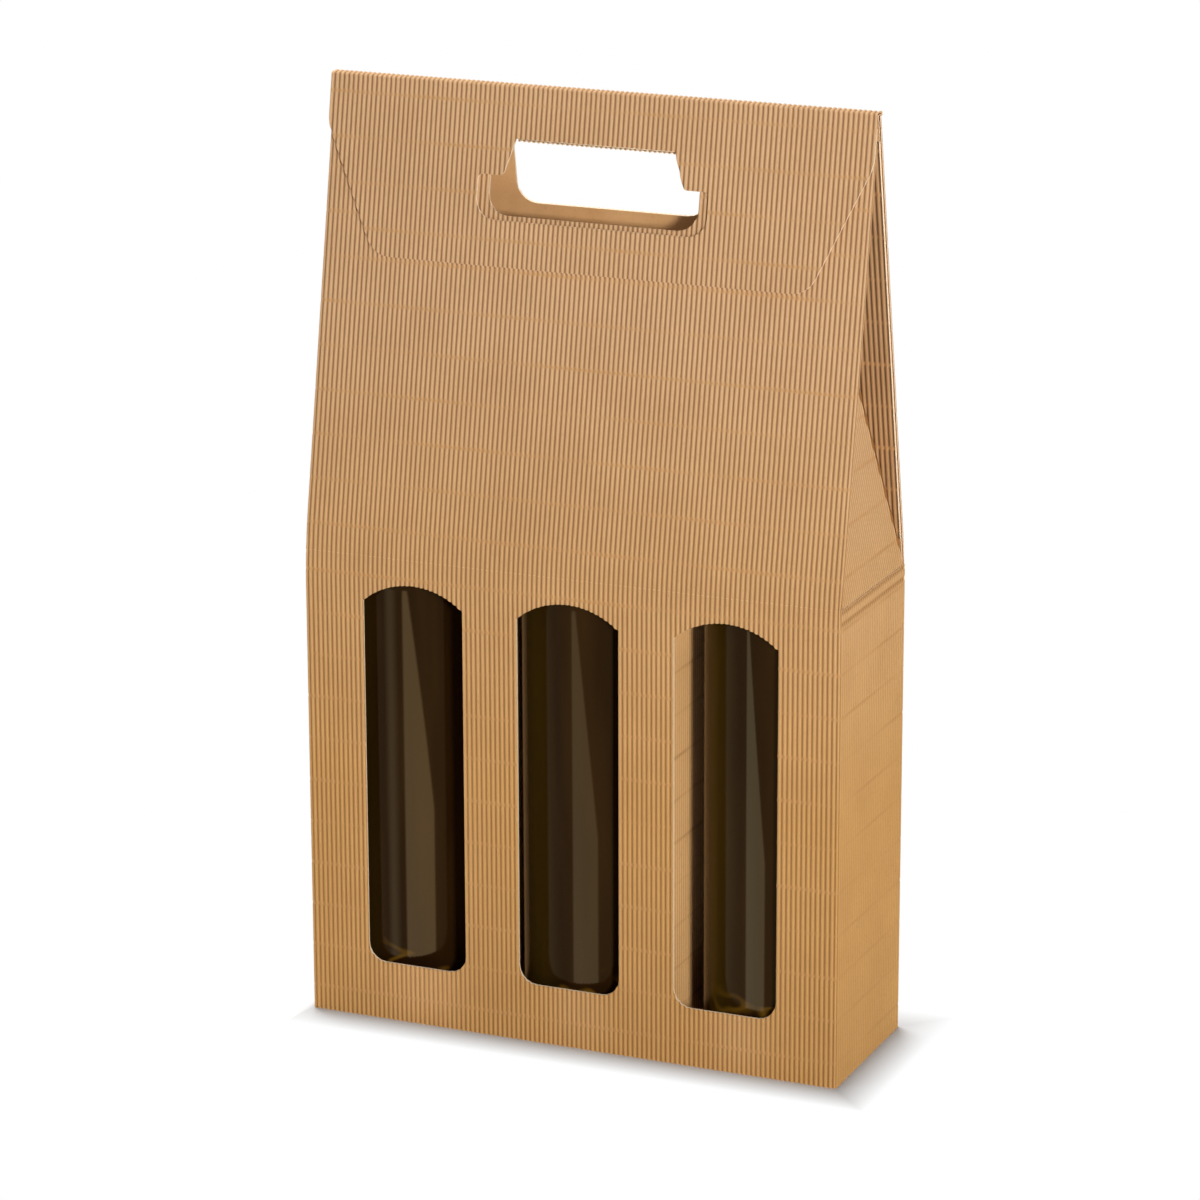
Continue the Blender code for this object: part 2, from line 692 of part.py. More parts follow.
def glass_profile():
    """Return the bottle's profile: up the outside to the lip, and down the inside."""
    radius = BOTTLE_DIAMETER / 2
    corner = math.sqrt(0.5)
    lip_low = BOTTLE_HEIGHT - LIP_HEIGHT
    outside = [
        (0.0, PUNT_HEIGHT),
        (PUNT_RADIUS * corner, PUNT_HEIGHT * corner),
        (PUNT_RADIUS, 0.0),
        (radius - HEEL_RADIUS, 0.0),
        (radius - HEEL_RADIUS * (1 - corner), HEEL_RADIUS * (1 - corner)),
        (radius, HEEL_RADIUS),
    ]
    outside += shoulder_points(radius, NECK_RADIUS, BOTTLE_BODY_HEIGHT, SHOULDER_RISE)
    outside += [
        (NECK_RADIUS, lip_low),
        (LIP_RADIUS, lip_low),
        (LIP_RADIUS, BOTTLE_HEIGHT),
        (BORE_RADIUS, BOTTLE_HEIGHT),
    ]
    return outside + list(reversed(cavity_points(0.0)))


def cavity_points(inset):
    """Return the bottle's inside from the middle of its floor to its mouth, drawn in by an inset."""
    corner = math.sqrt(0.5)
    radius = BOTTLE_DIAMETER / 2 - GLASS_WALL - inset
    floor = GLASS_FLOOR + inset
    points = [
        (0.0, PUNT_HEIGHT + floor),
        (PUNT_RADIUS * corner, PUNT_HEIGHT * corner + floor),
        (PUNT_RADIUS, floor),
        (radius - HEEL_RADIUS, floor),
        (radius, floor + HEEL_RADIUS),
    ]
    bore = BORE_RADIUS - inset
    points += shoulder_points(radius, bore, BOTTLE_BODY_HEIGHT - GLASS_WALL, SHOULDER_RISE)
    if inset == 0:
        points.append((bore, BOTTLE_HEIGHT))
    return points


def wine_profile(level):
    """Return the profile of the wine, which fills the bottle's inside up to a level."""
    points = cavity_points(FIT)
    below = [point for point in points if point[1] < level]
    radius = below[-1][0]
    if len(below) < len(points):
        (low_radius, low), (high_radius, high) = below[-1], points[len(below)]
        radius += (high_radius - low_radius) * (level - low) / (high - low)
    return below + [(radius, level), (0.0, level)]


def build_bottle(name, centre):
    """Build one bottle on its floor: glass, wine, cork and the capsule over its neck."""
    frame = Matrix.Translation(centre)
    glass_material = make_material(name + "_glass_green", GLASS_GREEN, 0.08)
    glass = add_object(name + "_glass", turned_mesh(name + "_glass", glass_profile()), frame,
                       glass_material)

    cork_radius = BORE_RADIUS - FIT
    cork_high = BOTTLE_HEIGHT - CORK_INSET
    cork_low = cork_high - CORK_LENGTH
    cork = [(0.0, cork_low), (cork_radius, cork_low), (cork_radius, cork_high), (0.0, cork_high)]
    wine = wine_profile(cork_low - ULLAGE)
    sleeve = LIP_RADIUS + FIT
    low = BOTTLE_BODY_HEIGHT + SHOULDER_RISE + CAPSULE_ABOVE_SHOULDER
    ceiling = BOTTLE_HEIGHT + FIT
    capsule = [
        (0.0, ceiling),
        (sleeve, ceiling),
        (sleeve, low),
        (sleeve + CAPSULE_WALL, low),
        (sleeve + CAPSULE_WALL, ceiling + CAPSULE_WALL),
        (0.0, ceiling + CAPSULE_WALL),
    ]
    for piece, profile, colour, roughness in (
        ("_wine", wine, WINE_RED, 0.05),
        ("_cork", cork, CORK_TAN, 0.85),
        ("_capsule", capsule, CAPSULE_BLACK, 0.35),
    ):
        material = make_material(name + piece + "_finish", colour, roughness)
        add_object(name + piece, turned_mesh(name + piece, profile), frame, material, glass)


def build_bottles():
    """Stand a bottle in each cell: the middle one on the insert's strip, the others outward."""
    middle = (BOTTLE_COUNT - 1) / 2
    for index in range(BOTTLE_COUNT):
        offset = index - middle
        floor = MIDDLE_FLOOR_Z if offset == 0 else FLOOR_Z
        centre = Vector((offset * (BOTTLE_PITCH + OUTER_BOTTLE_SHIFT), 0, floor))
        build_bottle("bottle_" + str(index + 1), centre)


def main():
    """Build the whole carrier."""
    clear_scene()
    build_walls()
    build_bottom()
    build_insert()
    gables = build_gables()
    build_gussets(gables)
    crest = build_crest(gables["back_gable"])
    flap = build_flap(crest)
    build_tab(flap)
    build_bottles()


main()
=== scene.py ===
"""Dress the three bottle carrier: open-flute kraft board, dark bottles and a white studio."""

import logging
import math
from collections.abc import Callable, Sequence
from dataclasses import dataclass, field
from enum import Enum

import bmesh
import bpy
from mathutils import Matrix, Vector, noise


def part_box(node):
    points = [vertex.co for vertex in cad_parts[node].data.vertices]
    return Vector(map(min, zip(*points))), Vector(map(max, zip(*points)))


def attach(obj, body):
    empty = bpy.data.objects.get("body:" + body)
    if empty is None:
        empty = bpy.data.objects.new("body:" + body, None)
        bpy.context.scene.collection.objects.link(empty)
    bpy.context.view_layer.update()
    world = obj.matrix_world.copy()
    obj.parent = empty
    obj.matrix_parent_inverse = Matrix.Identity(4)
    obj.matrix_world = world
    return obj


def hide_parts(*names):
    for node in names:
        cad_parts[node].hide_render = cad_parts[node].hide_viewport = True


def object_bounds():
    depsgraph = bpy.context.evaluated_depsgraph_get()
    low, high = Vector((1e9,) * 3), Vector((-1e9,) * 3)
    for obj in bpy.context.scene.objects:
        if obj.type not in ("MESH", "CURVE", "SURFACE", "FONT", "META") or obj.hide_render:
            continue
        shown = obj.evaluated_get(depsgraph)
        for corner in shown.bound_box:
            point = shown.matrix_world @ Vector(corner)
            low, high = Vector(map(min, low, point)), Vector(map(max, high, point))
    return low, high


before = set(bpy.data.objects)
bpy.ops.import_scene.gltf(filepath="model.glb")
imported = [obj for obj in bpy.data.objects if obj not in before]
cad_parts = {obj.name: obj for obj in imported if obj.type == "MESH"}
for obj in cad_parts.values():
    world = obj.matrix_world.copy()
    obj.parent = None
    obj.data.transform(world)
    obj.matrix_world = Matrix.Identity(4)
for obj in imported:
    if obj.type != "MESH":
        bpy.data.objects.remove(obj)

CAD_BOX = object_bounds()
LOG = logging.getLogger("carrier")

BOARD = 0.0015
FOLD_RADIUS = 0.0019
MERGE = 1e-6
FLAT_ANGLE = math.radians(1)
SHARP_ANGLE = math.radians(40)
TONE = "tone"

RIGHT = Vector((1, 0, 0))
BACK = Vector((0, 1, 0))
UP = Vector((0, 0, 1))

Colour = tuple[float, float, float]
Shape = Callable[[float, float, float], Vector]


class Face(Enum):
    """The three papers that show on a piece of board, in the order of its material slots."""

    FLUTED = 0
    LINER = 1
    CUT = 2


def linear(red: int, green: int, blue: int) -> Colour:
    """Return a linear colour from its 0 to 255 screen values.

    Args:
        red: Screen red.
        green: Screen green.
        blue: Screen blue.

    Returns:
        The same colour as linear values.
    """
    def channel(value: int) -> float:
        """Return one channel as a linear value."""
        share = value / 255
        return share / 12.92 if share <= 0.04045 else ((share + 0.055) / 1.055) ** 2.4

    return channel(red), channel(green), channel(blue)


class Nodes:
    """The node tree of a material, lamp or world, with short calls that add and join nodes."""

    def __init__(self, owner: bpy.types.ID, shader: str = "Principled BSDF") -> None:
        """Start with the shader that a new tree has.

        Args:
            owner: The material, lamp or world.
            shader: The name of its shader.
        """
        owner.use_nodes = True
        self.owner = owner
        self.tree = owner.node_tree
        self.shader = self.tree.nodes[shader]

    def add(self, kind: str, **values: object) -> bpy.types.Node:
        """Add a node.

        Args:
            kind: The node's type name.
            values: Attributes of the node, set as they are named.

        Returns:
            The new node.
        """
        node = self.tree.nodes.new(kind)
        for name, value in values.items():
            setattr(node, name, value)
        return node

    def feed(self, source: object, target: object) -> None:
        """Set an input: a socket is joined to it and anything else is its value."""
        if isinstance(source, bpy.types.NodeSocket):
            self.tree.links.new(source, target)
        else:
            target.default_value = source

    def place(self, scale: Sequence[float] = (1, 1, 1)) -> bpy.types.NodeSocket:
        """Return the object's own coordinates, stretched by a scale."""
        mapping = self.add("ShaderNodeMapping")
        mapping.inputs["Scale"].default_value = scale
        self.feed(self.add("ShaderNodeTexCoord").outputs["Object"], mapping.inputs["Vector"])
        return mapping.outputs["Vector"]

    def noise(self, vector: object, scale: float, detail: float = 3.0) -> bpy.types.NodeSocket:
        """Return a noise pattern's grey value.

        Args:
            vector: The coordinates that it is read at.
            scale: Its scale, in cells per metre.
            detail: Its number of octaves.

        Returns:
            The socket that gives the pattern, from 0 to 1.
        """
        node = self.add("ShaderNodeTexNoise")
        self.feed(vector, node.inputs["Vector"])
        node.inputs["Scale"].default_value = scale
        node.inputs["Detail"].default_value = detail
        return node.outputs["Fac"]

    def math(self, operation: str, first: object, second: object) -> bpy.types.NodeSocket:
        """Return a sum, product or other result of two values."""
        node = self.add("ShaderNodeMath", operation=operation)
        self.feed(first, node.inputs[0])
        self.feed(second, node.inputs[1])
        return node.outputs[0]

    def ramp(self, value: object, low: float, high: float, start: float,
             end: float) -> bpy.types.NodeSocket:
        """Return a value moved from one range to another and held at its ends.

        Args:
            value: The value to move.
            low: Where the range starts.
            high: Where the range ends.
            start: What the start becomes.
            end: What the end becomes.

        Returns:
            The socket that gives the new value.
        """
        node = self.add("ShaderNodeMapRange")
        for name, number in (("Value", value), ("From Min", low), ("From Max", high),
                             ("To Min", start), ("To Max", end)):
            self.feed(number, node.inputs[name])
        return node.outputs["Result"]

    def mix(self, share: object, first: object, second: object) -> bpy.types.NodeSocket:
        """Return two colours mixed.

        Args:
            share: How much of the second colour shows.
            first: The first colour or socket.
            second: The second colour or socket.

        Returns:
            The socket that gives the mixed colour.
        """
        node = self.add("ShaderNodeMix", data_type="RGBA")
        self.feed(share, node.inputs["Factor"])
        for value, name in ((first, "A"), (second, "B")):
            target = [item for item in node.inputs if item.name == name and item.type == "RGBA"][0]
            self.feed((*value, 1.0) if isinstance(value, tuple) else value, target)
        return [item for item in node.outputs if item.type == "RGBA"][0]

    def bump(self, height: object, distance: float, strength: float) -> None:
        """Give the shader a relief from a grey pattern.

        Args:
            height: The pattern.
            distance: How high it stands, in metres.
            strength: How strongly it shows.
        """
        node = self.add("ShaderNodeBump")
        node.inputs["Distance"].default_value = distance
        node.inputs["Strength"].default_value = strength
        self.feed(height, node.inputs["Height"])
        self.feed(node.outputs["Normal"], self.shader.inputs["Normal"])

    def set(self, **values: object) -> None:
        """Set or join the shader's inputs, named with _ for a space."""
        for name, value in values.items():
            if isinstance(value, tuple) and len(value) == 3 and "Color" in name:
                value = (*value, 1.0)
            self.feed(value, self.shader.inputs[name.replace("_", " ")])


@dataclass(frozen=True)
class FlutedKraft:
    """The fluted face: warm kraft, with painted shade between the flutes and darker where it is
    pressed.
    """

    name: str = "fluted_kraft"
    # painted light and shade by height: the crest colour is lighter at the top than at the bottom
    crest: Colour = linear(217, 176, 132)
    shaded_low_crest: Colour = linear(205, 157, 96)
    # painted shade: the valley colours darken the flute valleys, more at the top than at the bottom
    valley: Colour = linear(128, 86, 50)
    shaded_low_valley: Colour = linear(144, 98, 53)
    fleck: Colour = linear(140, 96, 56)
    pinch: Colour = linear(194, 143, 88)
    crushed: Colour = linear(176, 126, 74)

    def material(self) -> bpy.types.Material:
        """Return the finish as a material."""
        nodes = Nodes(bpy.data.materials.new(self.name))
        tone = nodes.add("ShaderNodeAttribute", attribute_name=TONE)
        parts = nodes.add("ShaderNodeSeparateColor")
        nodes.feed(tone.outputs["Color"], parts.inputs["Color"])
        valley, pinch, crush = (parts.outputs[name] for name in ("Red", "Green", "Blue"))
        height = nodes.add("ShaderNodeSeparateXYZ")
        nodes.feed(nodes.place(), height.inputs["Vector"])
        # painted light and shade by height: lighter crests and darker valleys towards the top
        painted_light_by_height = nodes.ramp(height.outputs["Z"], 0.12, 0.34, 1.0, 0.0)
        colour = nodes.mix(painted_light_by_height, self.crest, self.shaded_low_crest)
        shaded = nodes.mix(painted_light_by_height, self.valley, self.shaded_low_valley)
        # painted shade: the flute valleys are darkened by their depth
        colour = nodes.mix(nodes.ramp(valley, 0.30, 1.0, 0.0, 0.9), colour, shaded)
        cloud = nodes.noise(nodes.place(), 38.0, 4.0)
        colour = nodes.mix(nodes.ramp(cloud, 0.35, 0.7, 0.0, 0.12), colour, self.shaded_low_valley)
        fibre = nodes.noise(nodes.place((1.0, 1.0, 0.28)), 2600.0, 2.0)
        colour = nodes.mix(nodes.ramp(fibre, 0.56, 0.78, 0.0, 0.30), colour, self.fleck)
        grain = nodes.noise(nodes.place(), 5200.0, 2.0)
        colour = nodes.mix(nodes.ramp(pinch, 0.0, 1.0, 0.0, 0.8), colour, self.pinch)
        colour = nodes.mix(nodes.ramp(crush, 0.0, 1.0, 0.0, 0.8), colour, self.crushed)
        nodes.set(Base_Color=colour, Roughness=0.78, Specular_IOR_Level=0.12)
        nodes.bump(nodes.math("ADD", grain, fibre), 0.00004, 0.55)
        return nodes.owner


@dataclass(frozen=True)
class LinerKraft:
    """The flat inner liner: smooth kraft with soft clouds and sparse fibres."""

    name: str = "liner_kraft"
    light: Colour = linear(230, 180, 124)
    dark: Colour = linear(218, 166, 110)
    fleck: Colour = linear(165, 118, 72)

    def material(self) -> bpy.types.Material:
        """Return the finish as a material."""
        nodes = Nodes(bpy.data.materials.new(self.name))
        cloud = nodes.noise(nodes.place(), 60.0, 4.0)
        colour = nodes.mix(nodes.ramp(cloud, 0.3, 0.7, 0.0, 1.0), self.light, self.dark)
        fibre = nodes.noise(nodes.place((1.0, 1.0, 0.35)), 1800.0, 3.0)
        colour = nodes.mix(nodes.ramp(fibre, 0.58, 0.8, 0.0, 0.35), colour, self.fleck)
        nodes.set(Base_Color=colour, Roughness=0.72, Specular_IOR_Level=0.25)
        nodes.bump(fibre, 0.00003, 0.5)
        return nodes.owner


@dataclass(frozen=True)
class BottleGlass:
    """Glass so dark with its wine that its brown body and gloss show, with painted light at edges
    and foot.
    """

    body: Colour = linear(33, 18, 5)
    amber: Colour = linear(46, 28, 8)
    # heel: painted light, an amber arc of light coming through the glass above the foot
    heel: Colour = linear(124, 88, 22)
    # rim: painted light, olive light coming through the glass at its edges
    rim: Colour = linear(92, 70, 16)
    gloss: Colour = (1.0, 0.66, 0.30)
    roughness: float = 0.10
    swirl_level: float = 0.56
    painted_light_heel_heights: tuple[float, float] = (0.020, 0.034)

    def material(self, foot: float) -> bpy.types.Material:
        """Return the finish as a material.

        Args:
            foot: The height of the bottle's foot, above which an amber arc of painted light shows.
        """
        nodes = Nodes(bpy.data.materials.new("bottle_glass"))
        cloud = nodes.noise(nodes.place((1.0, 1.0, 0.12)), 60.0, 2.0)
        colour = nodes.mix(nodes.ramp(cloud, 0.42, 0.68, 0.0, 1.0), self.body, self.amber)
        height = nodes.add("ShaderNodeSeparateXYZ")
        nodes.feed(nodes.place(), height.inputs["Vector"])
        # painted light: a lighter amber arc just above the foot, for light coming through the glass
        swirl = nodes.noise(nodes.place((1.0, 1.0, 1.6)), 45.0, 1.0)
        arc = nodes.math("ABSOLUTE", nodes.math("SUBTRACT", swirl, self.swirl_level), 0.0)
        low, high = (foot + rise for rise in self.painted_light_heel_heights)
        thick = nodes.math("MULTIPLY", nodes.ramp(height.outputs["Z"], low, high, 1.0, 0.0),
                           nodes.ramp(arc, 0.01, 0.06, 0.7, 0.0))
        colour = nodes.mix(thick, colour, self.heel)
        # painted light: olive light coming through the glass, mixed in where the surface turns away
        facing = nodes.add("ShaderNodeLayerWeight").outputs["Facing"]
        colour = nodes.mix(nodes.ramp(facing, 0.22, 0.6, 0.0, 0.55), colour, self.rim)
        smear = nodes.ramp(cloud, 0.3, 0.7, self.roughness * 0.8, self.roughness * 1.3)
        nodes.set(Base_Color=colour, Roughness=smear, Specular_IOR_Level=0.11,
                  Specular_Tint=(*self.gloss, 1.0))
        return nodes.owner


@dataclass(frozen=True)
class Mottled:
    """A finish of two colours that one noise pattern mixes, with a faint relief from it."""

    name: str
    body: Colour
    spots: Colour
    cells: float
    octaves: float
    change: tuple[float, float]
    roughness: float
    gloss: float
    stretch: tuple[float, float, float] = (1.0, 1.0, 1.0)
    relief: float = 0.0
    relief_strength: float = 0.0

    def material(self) -> bpy.types.Material:
        """Return the finish as a material."""
        nodes = Nodes(bpy.data.materials.new(self.name))
        pattern = nodes.noise(nodes.place(self.stretch), self.cells, self.octaves)
        colour = nodes.mix(nodes.ramp(pattern, *self.change, 0.0, 1.0), self.body, self.spots)
        nodes.set(Base_Color=colour, Roughness=self.roughness, Specular_IOR_Level=self.gloss)
        if self.relief:
            nodes.bump(pattern, self.relief, self.relief_strength)
        return nodes.owner


CUT_KRAFT = Mottled("cut_kraft", linear(250, 228, 196), linear(226, 190, 146), cells=2400.0,
                    octaves=3.0, change=(0.45, 0.7), roughness=0.9, gloss=0.1,
                    relief=0.00008, relief_strength=0.6)
WINE = Mottled("wine_red", linear(44, 20, 12), linear(70, 30, 14), cells=30.0, octaves=2.0,
               change=(0.35, 0.65), roughness=0.2, gloss=0.3)
CORK = Mottled("cork_grain", linear(196, 158, 112), linear(104, 72, 44), cells=420.0,
               octaves=4.0, change=(0.55, 0.7), roughness=0.85, gloss=0.5,
               relief=0.0003, relief_strength=0.6)
CAPSULE_FOIL = Mottled("capsule_foil", linear(24, 22, 23), linear(40, 37, 37), cells=160.0,
                       octaves=3.0, change=(0.4, 0.75), roughness=0.38, gloss=0.5,
                       stretch=(1.0, 1.0, 0.3), relief=0.0002, relief_strength=0.4)


@dataclass(frozen=True)
class Papers:
    """The papers that the board is dressed in."""

    fluted: bpy.types.Material
    liner: bpy.types.Material
    cut: bpy.types.Material

    def in_order(self) -> tuple[bpy.types.Material, ...]:
        """Return the papers in the order of the Face options."""
        return self.fluted, self.liner, self.cut


def patches(cells: tuple[float, float, float], across: float, along: float,
            seed: float) -> float:
    """Return a soft random pattern at a place on a sheet, with cells per metre each way."""
    return noise.noise(Vector((across * cells[0], along * cells[1], seed * cells[2])))


@dataclass(frozen=True)
class Flutes:
    """The wave of the open flutes, measured from the board's inner face."""

    pitch: float = 0.00233
    paper: float = 0.00033
    crest: float = 0.00148
    valley: float = 0.00070
    valley_narrowing: float = 1.5
    steps: int = 6
    pinch_pitch: float = 0.0203
    pinch_reach: float = 0.0013
    pinch_share: float = 0.8
    pinched: float = 0.35
    unevenness: float = 0.00005
    uneven_cells: tuple[float, float, float] = (90, 25, 7)
    patch_cells: tuple[float, float, float] = (26, 60, 9)
    patch_mean: float = 0.65
    patch_least: float = 0.25

    def columns(self, low: float, high: float) -> list[float]:
        """Return where the sheet is sliced across its flutes, between two places."""
        step = self.pitch / self.steps
        return [index * step for index in range(math.ceil(low / step), math.floor(high / step) + 1)
                if low + MERGE < index * step < high - MERGE]

    def rows(self, low: float, high: float, start: float) -> list[float]:
        """Return where the sheet is sliced along its flutes: on each side of each pinch mark."""
        found = []
        first = math.ceil((low - start) / self.pinch_pitch)
        for index in range(first, math.floor((high - start) / self.pinch_pitch) + 1):
            middle = start + index * self.pinch_pitch
            found += [middle - self.pinch_reach, middle, middle + self.pinch_reach]
        return [place for place in found if low + MERGE < place < high - MERGE]

    def pinch(self, along: float, start: float) -> float:
        """Return how strongly the board is pinched at a place along its flutes, from 0 to 1."""
        steps = (along - start) / self.pinch_pitch
        away = abs(steps - round(steps)) * self.pinch_pitch
        return max(0.0, 1.0 - away / self.pinch_reach)

    def patch(self, across: float, along: float, start: float) -> float:
        """Return how much of the pinch mark is left at a place, where it is broken up."""
        level = self.patch_mean + patches(self.patch_cells, across, along, start)
        return min(1.0, max(self.patch_least, level))

    def depth(self, across: float) -> float:
        """Return how deep the wave is at a place across the flutes: 0 on a crest, 1 in a valley."""
        turn = 2 * math.pi * across / self.pitch
        return ((1 - math.cos(turn)) / 2) ** self.valley_narrowing


FLUTES = Flutes()


@dataclass(frozen=True)
class CutEdges:
    """Which edges of a sheet the die cut: those between two heights and two sides."""

    low: float = 0.0
    high: float = 0.0
    side: float = 1.0

    def holds(self, edge: bmesh.types.BMEdge) -> bool:
        """Return whether an edge of the flat outline is one of them."""
        middle = (edge.verts[0].co + edge.verts[1].co) / 2
        return self.low < middle.y < self.high and abs(middle.x) < self.side


def take_node(name: str, place: Matrix) -> bmesh.types.BMesh:
    """Return a merged copy of a CAD node in the coordinates of its panel.

    Args:
        name: The node.
        place: The panel's frame.

    Returns:
        The copy, ready to be cut and shaped.
    """
    bm = bmesh.new()
    bm.from_mesh(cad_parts[name].data)
    bmesh.ops.remove_doubles(bm, verts=bm.verts[:], dist=MERGE)
    bmesh.ops.transform(bm, matrix=place.inverted(), verts=bm.verts[:])
    return bm


def keep_papers(bm: bmesh.types.BMesh) -> None:
    """Keep a plate's outer and inner faces, laid flat and looking up, and remove its rims."""
    low = min(vert.co.z for vert in bm.verts)
    rims = []
    for one in bm.faces:
        heights = [vert.co.z - low for vert in one.verts]
        if max(heights) < BOARD / 4:
            one.material_index = Face.LINER.value
        elif min(heights) > BOARD / 4:
            one.material_index = Face.FLUTED.value
        else:
            rims.append(one)
    bmesh.ops.delete(bm, geom=rims, context="FACES")
    for vert in bm.verts:
        vert.co.z = 0.0
    look_up(bm)
    bmesh.ops.dissolve_limit(bm, angle_limit=FLAT_ANGLE, use_dissolve_boundaries=False,
                             verts=bm.verts[:], edges=bm.edges[:], delimit={"MATERIAL"})


def hand_over(name: str, bm: bmesh.types.BMesh,
              materials: Sequence[bpy.types.Material]) -> bpy.types.Object:
    """Turn a finished mesh into an object of the scene.

    Args:
        name: The object's name.
        bm: The mesh, which this uses up.
        materials: Its materials, in the order of their slots.

    Returns:
        The object.
    """
    mesh = bpy.data.meshes.new(name)
    bm.to_mesh(mesh)
    bm.free()
    for material in materials:
        mesh.materials.append(material)
    piece = bpy.data.objects.new(name, mesh)
    bpy.context.scene.collection.objects.link(piece)
    return piece


def look_up(bm: bmesh.types.BMesh) -> None:
    """Turn the faces of a flat outline that look down."""
    bm.normal_update()
    bmesh.ops.reverse_faces(bm, faces=[one for one in bm.faces if one.normal.z < 0])


def extend_sides(bm: bmesh.types.BMesh, straight: float, run: float) -> None:
    """Trim a flat outline to a half width and run it on past both ends.

    Args:
        bm: The outline.
        straight: The half width that it is trimmed to.
        run: How far it runs on.
    """
    for side in (-1, 1):
        edge_line = RIGHT * side * straight
        bmesh.ops.bisect_plane(bm, geom=[*bm.verts, *bm.edges, *bm.faces], dist=MERGE,
                               plane_co=edge_line, plane_no=RIGHT * side, clear_outer=True)
        rim = [edge for edge in bm.edges if edge.is_boundary
               and all(abs(vert.co.x - edge_line.x) < MERGE for vert in edge.verts)]
        for layer in (Face.FLUTED, Face.LINER):
            part = [edge for edge in rim if edge.link_faces[0].material_index == layer.value]
            made = bmesh.ops.extrude_edge_only(bm, edges=part)
            moved = [item for item in made["geom"] if isinstance(item, bmesh.types.BMVert)]
            bmesh.ops.translate(bm, verts=moved, vec=RIGHT * side * run)
            for one in {one for vert in moved for one in vert.link_faces}:
                one.material_index = layer.value
    look_up(bm)


def flat_strip(start: float, end: float, low: float, high: float) -> bmesh.types.BMesh:
    """Return a flat rectangular outline, once for each paper.

    Args:
        start: Where it starts across the flutes.
        end: Where it ends across the flutes.
        low: Where it starts along the flutes.
        high: Where it ends along the flutes.

    Returns:
        The outline.
    """
    bm = bmesh.new()
    for layer in (Face.FLUTED, Face.LINER):
        made = bmesh.ops.create_grid(bm, x_segments=1, y_segments=1, size=0.5)
        bmesh.ops.scale(bm, vec=(end - start, high - low, 1), verts=made["verts"])
        middle = Vector(((start + end) / 2, (low + high) / 2, 0))
        bmesh.ops.translate(bm, vec=middle, verts=made["verts"])
        for one in {one for vert in made["verts"] for one in vert.link_faces}:
            one.material_index = layer.value
    look_up(bm)
    return bm


def comb(bm: bmesh.types.BMesh, faces: list, cuts: list[float], axis: int) -> None:
    """Slice faces by planes across one axis, halving the work at each step.

    Args:
        bm: The mesh.
        faces: The faces to slice.
        cuts: Where the planes lie, in rising order.
        axis: The axis that the planes lie across.
    """
    if not cuts or not faces:
        return
    middle = len(cuts) // 2
    normal = Vector((0, 0, 0))
    normal[axis] = 1.0
    edges = {edge for one in faces for edge in one.edges}
    verts = {vert for edge in edges for vert in edge.verts}
    made = bmesh.ops.bisect_plane(bm, geom=[*verts, *edges, *faces], dist=MERGE / 10,
                                  plane_co=normal * cuts[middle], plane_no=normal)
    below, above = [], []
    for item in made["geom"]:
        if isinstance(item, bmesh.types.BMFace):
            side = below if item.calc_center_median()[axis] < cuts[middle] else above
            side.append(item)
    comb(bm, below, cuts[:middle], axis)
    comb(bm, above, cuts[middle + 1:], axis)


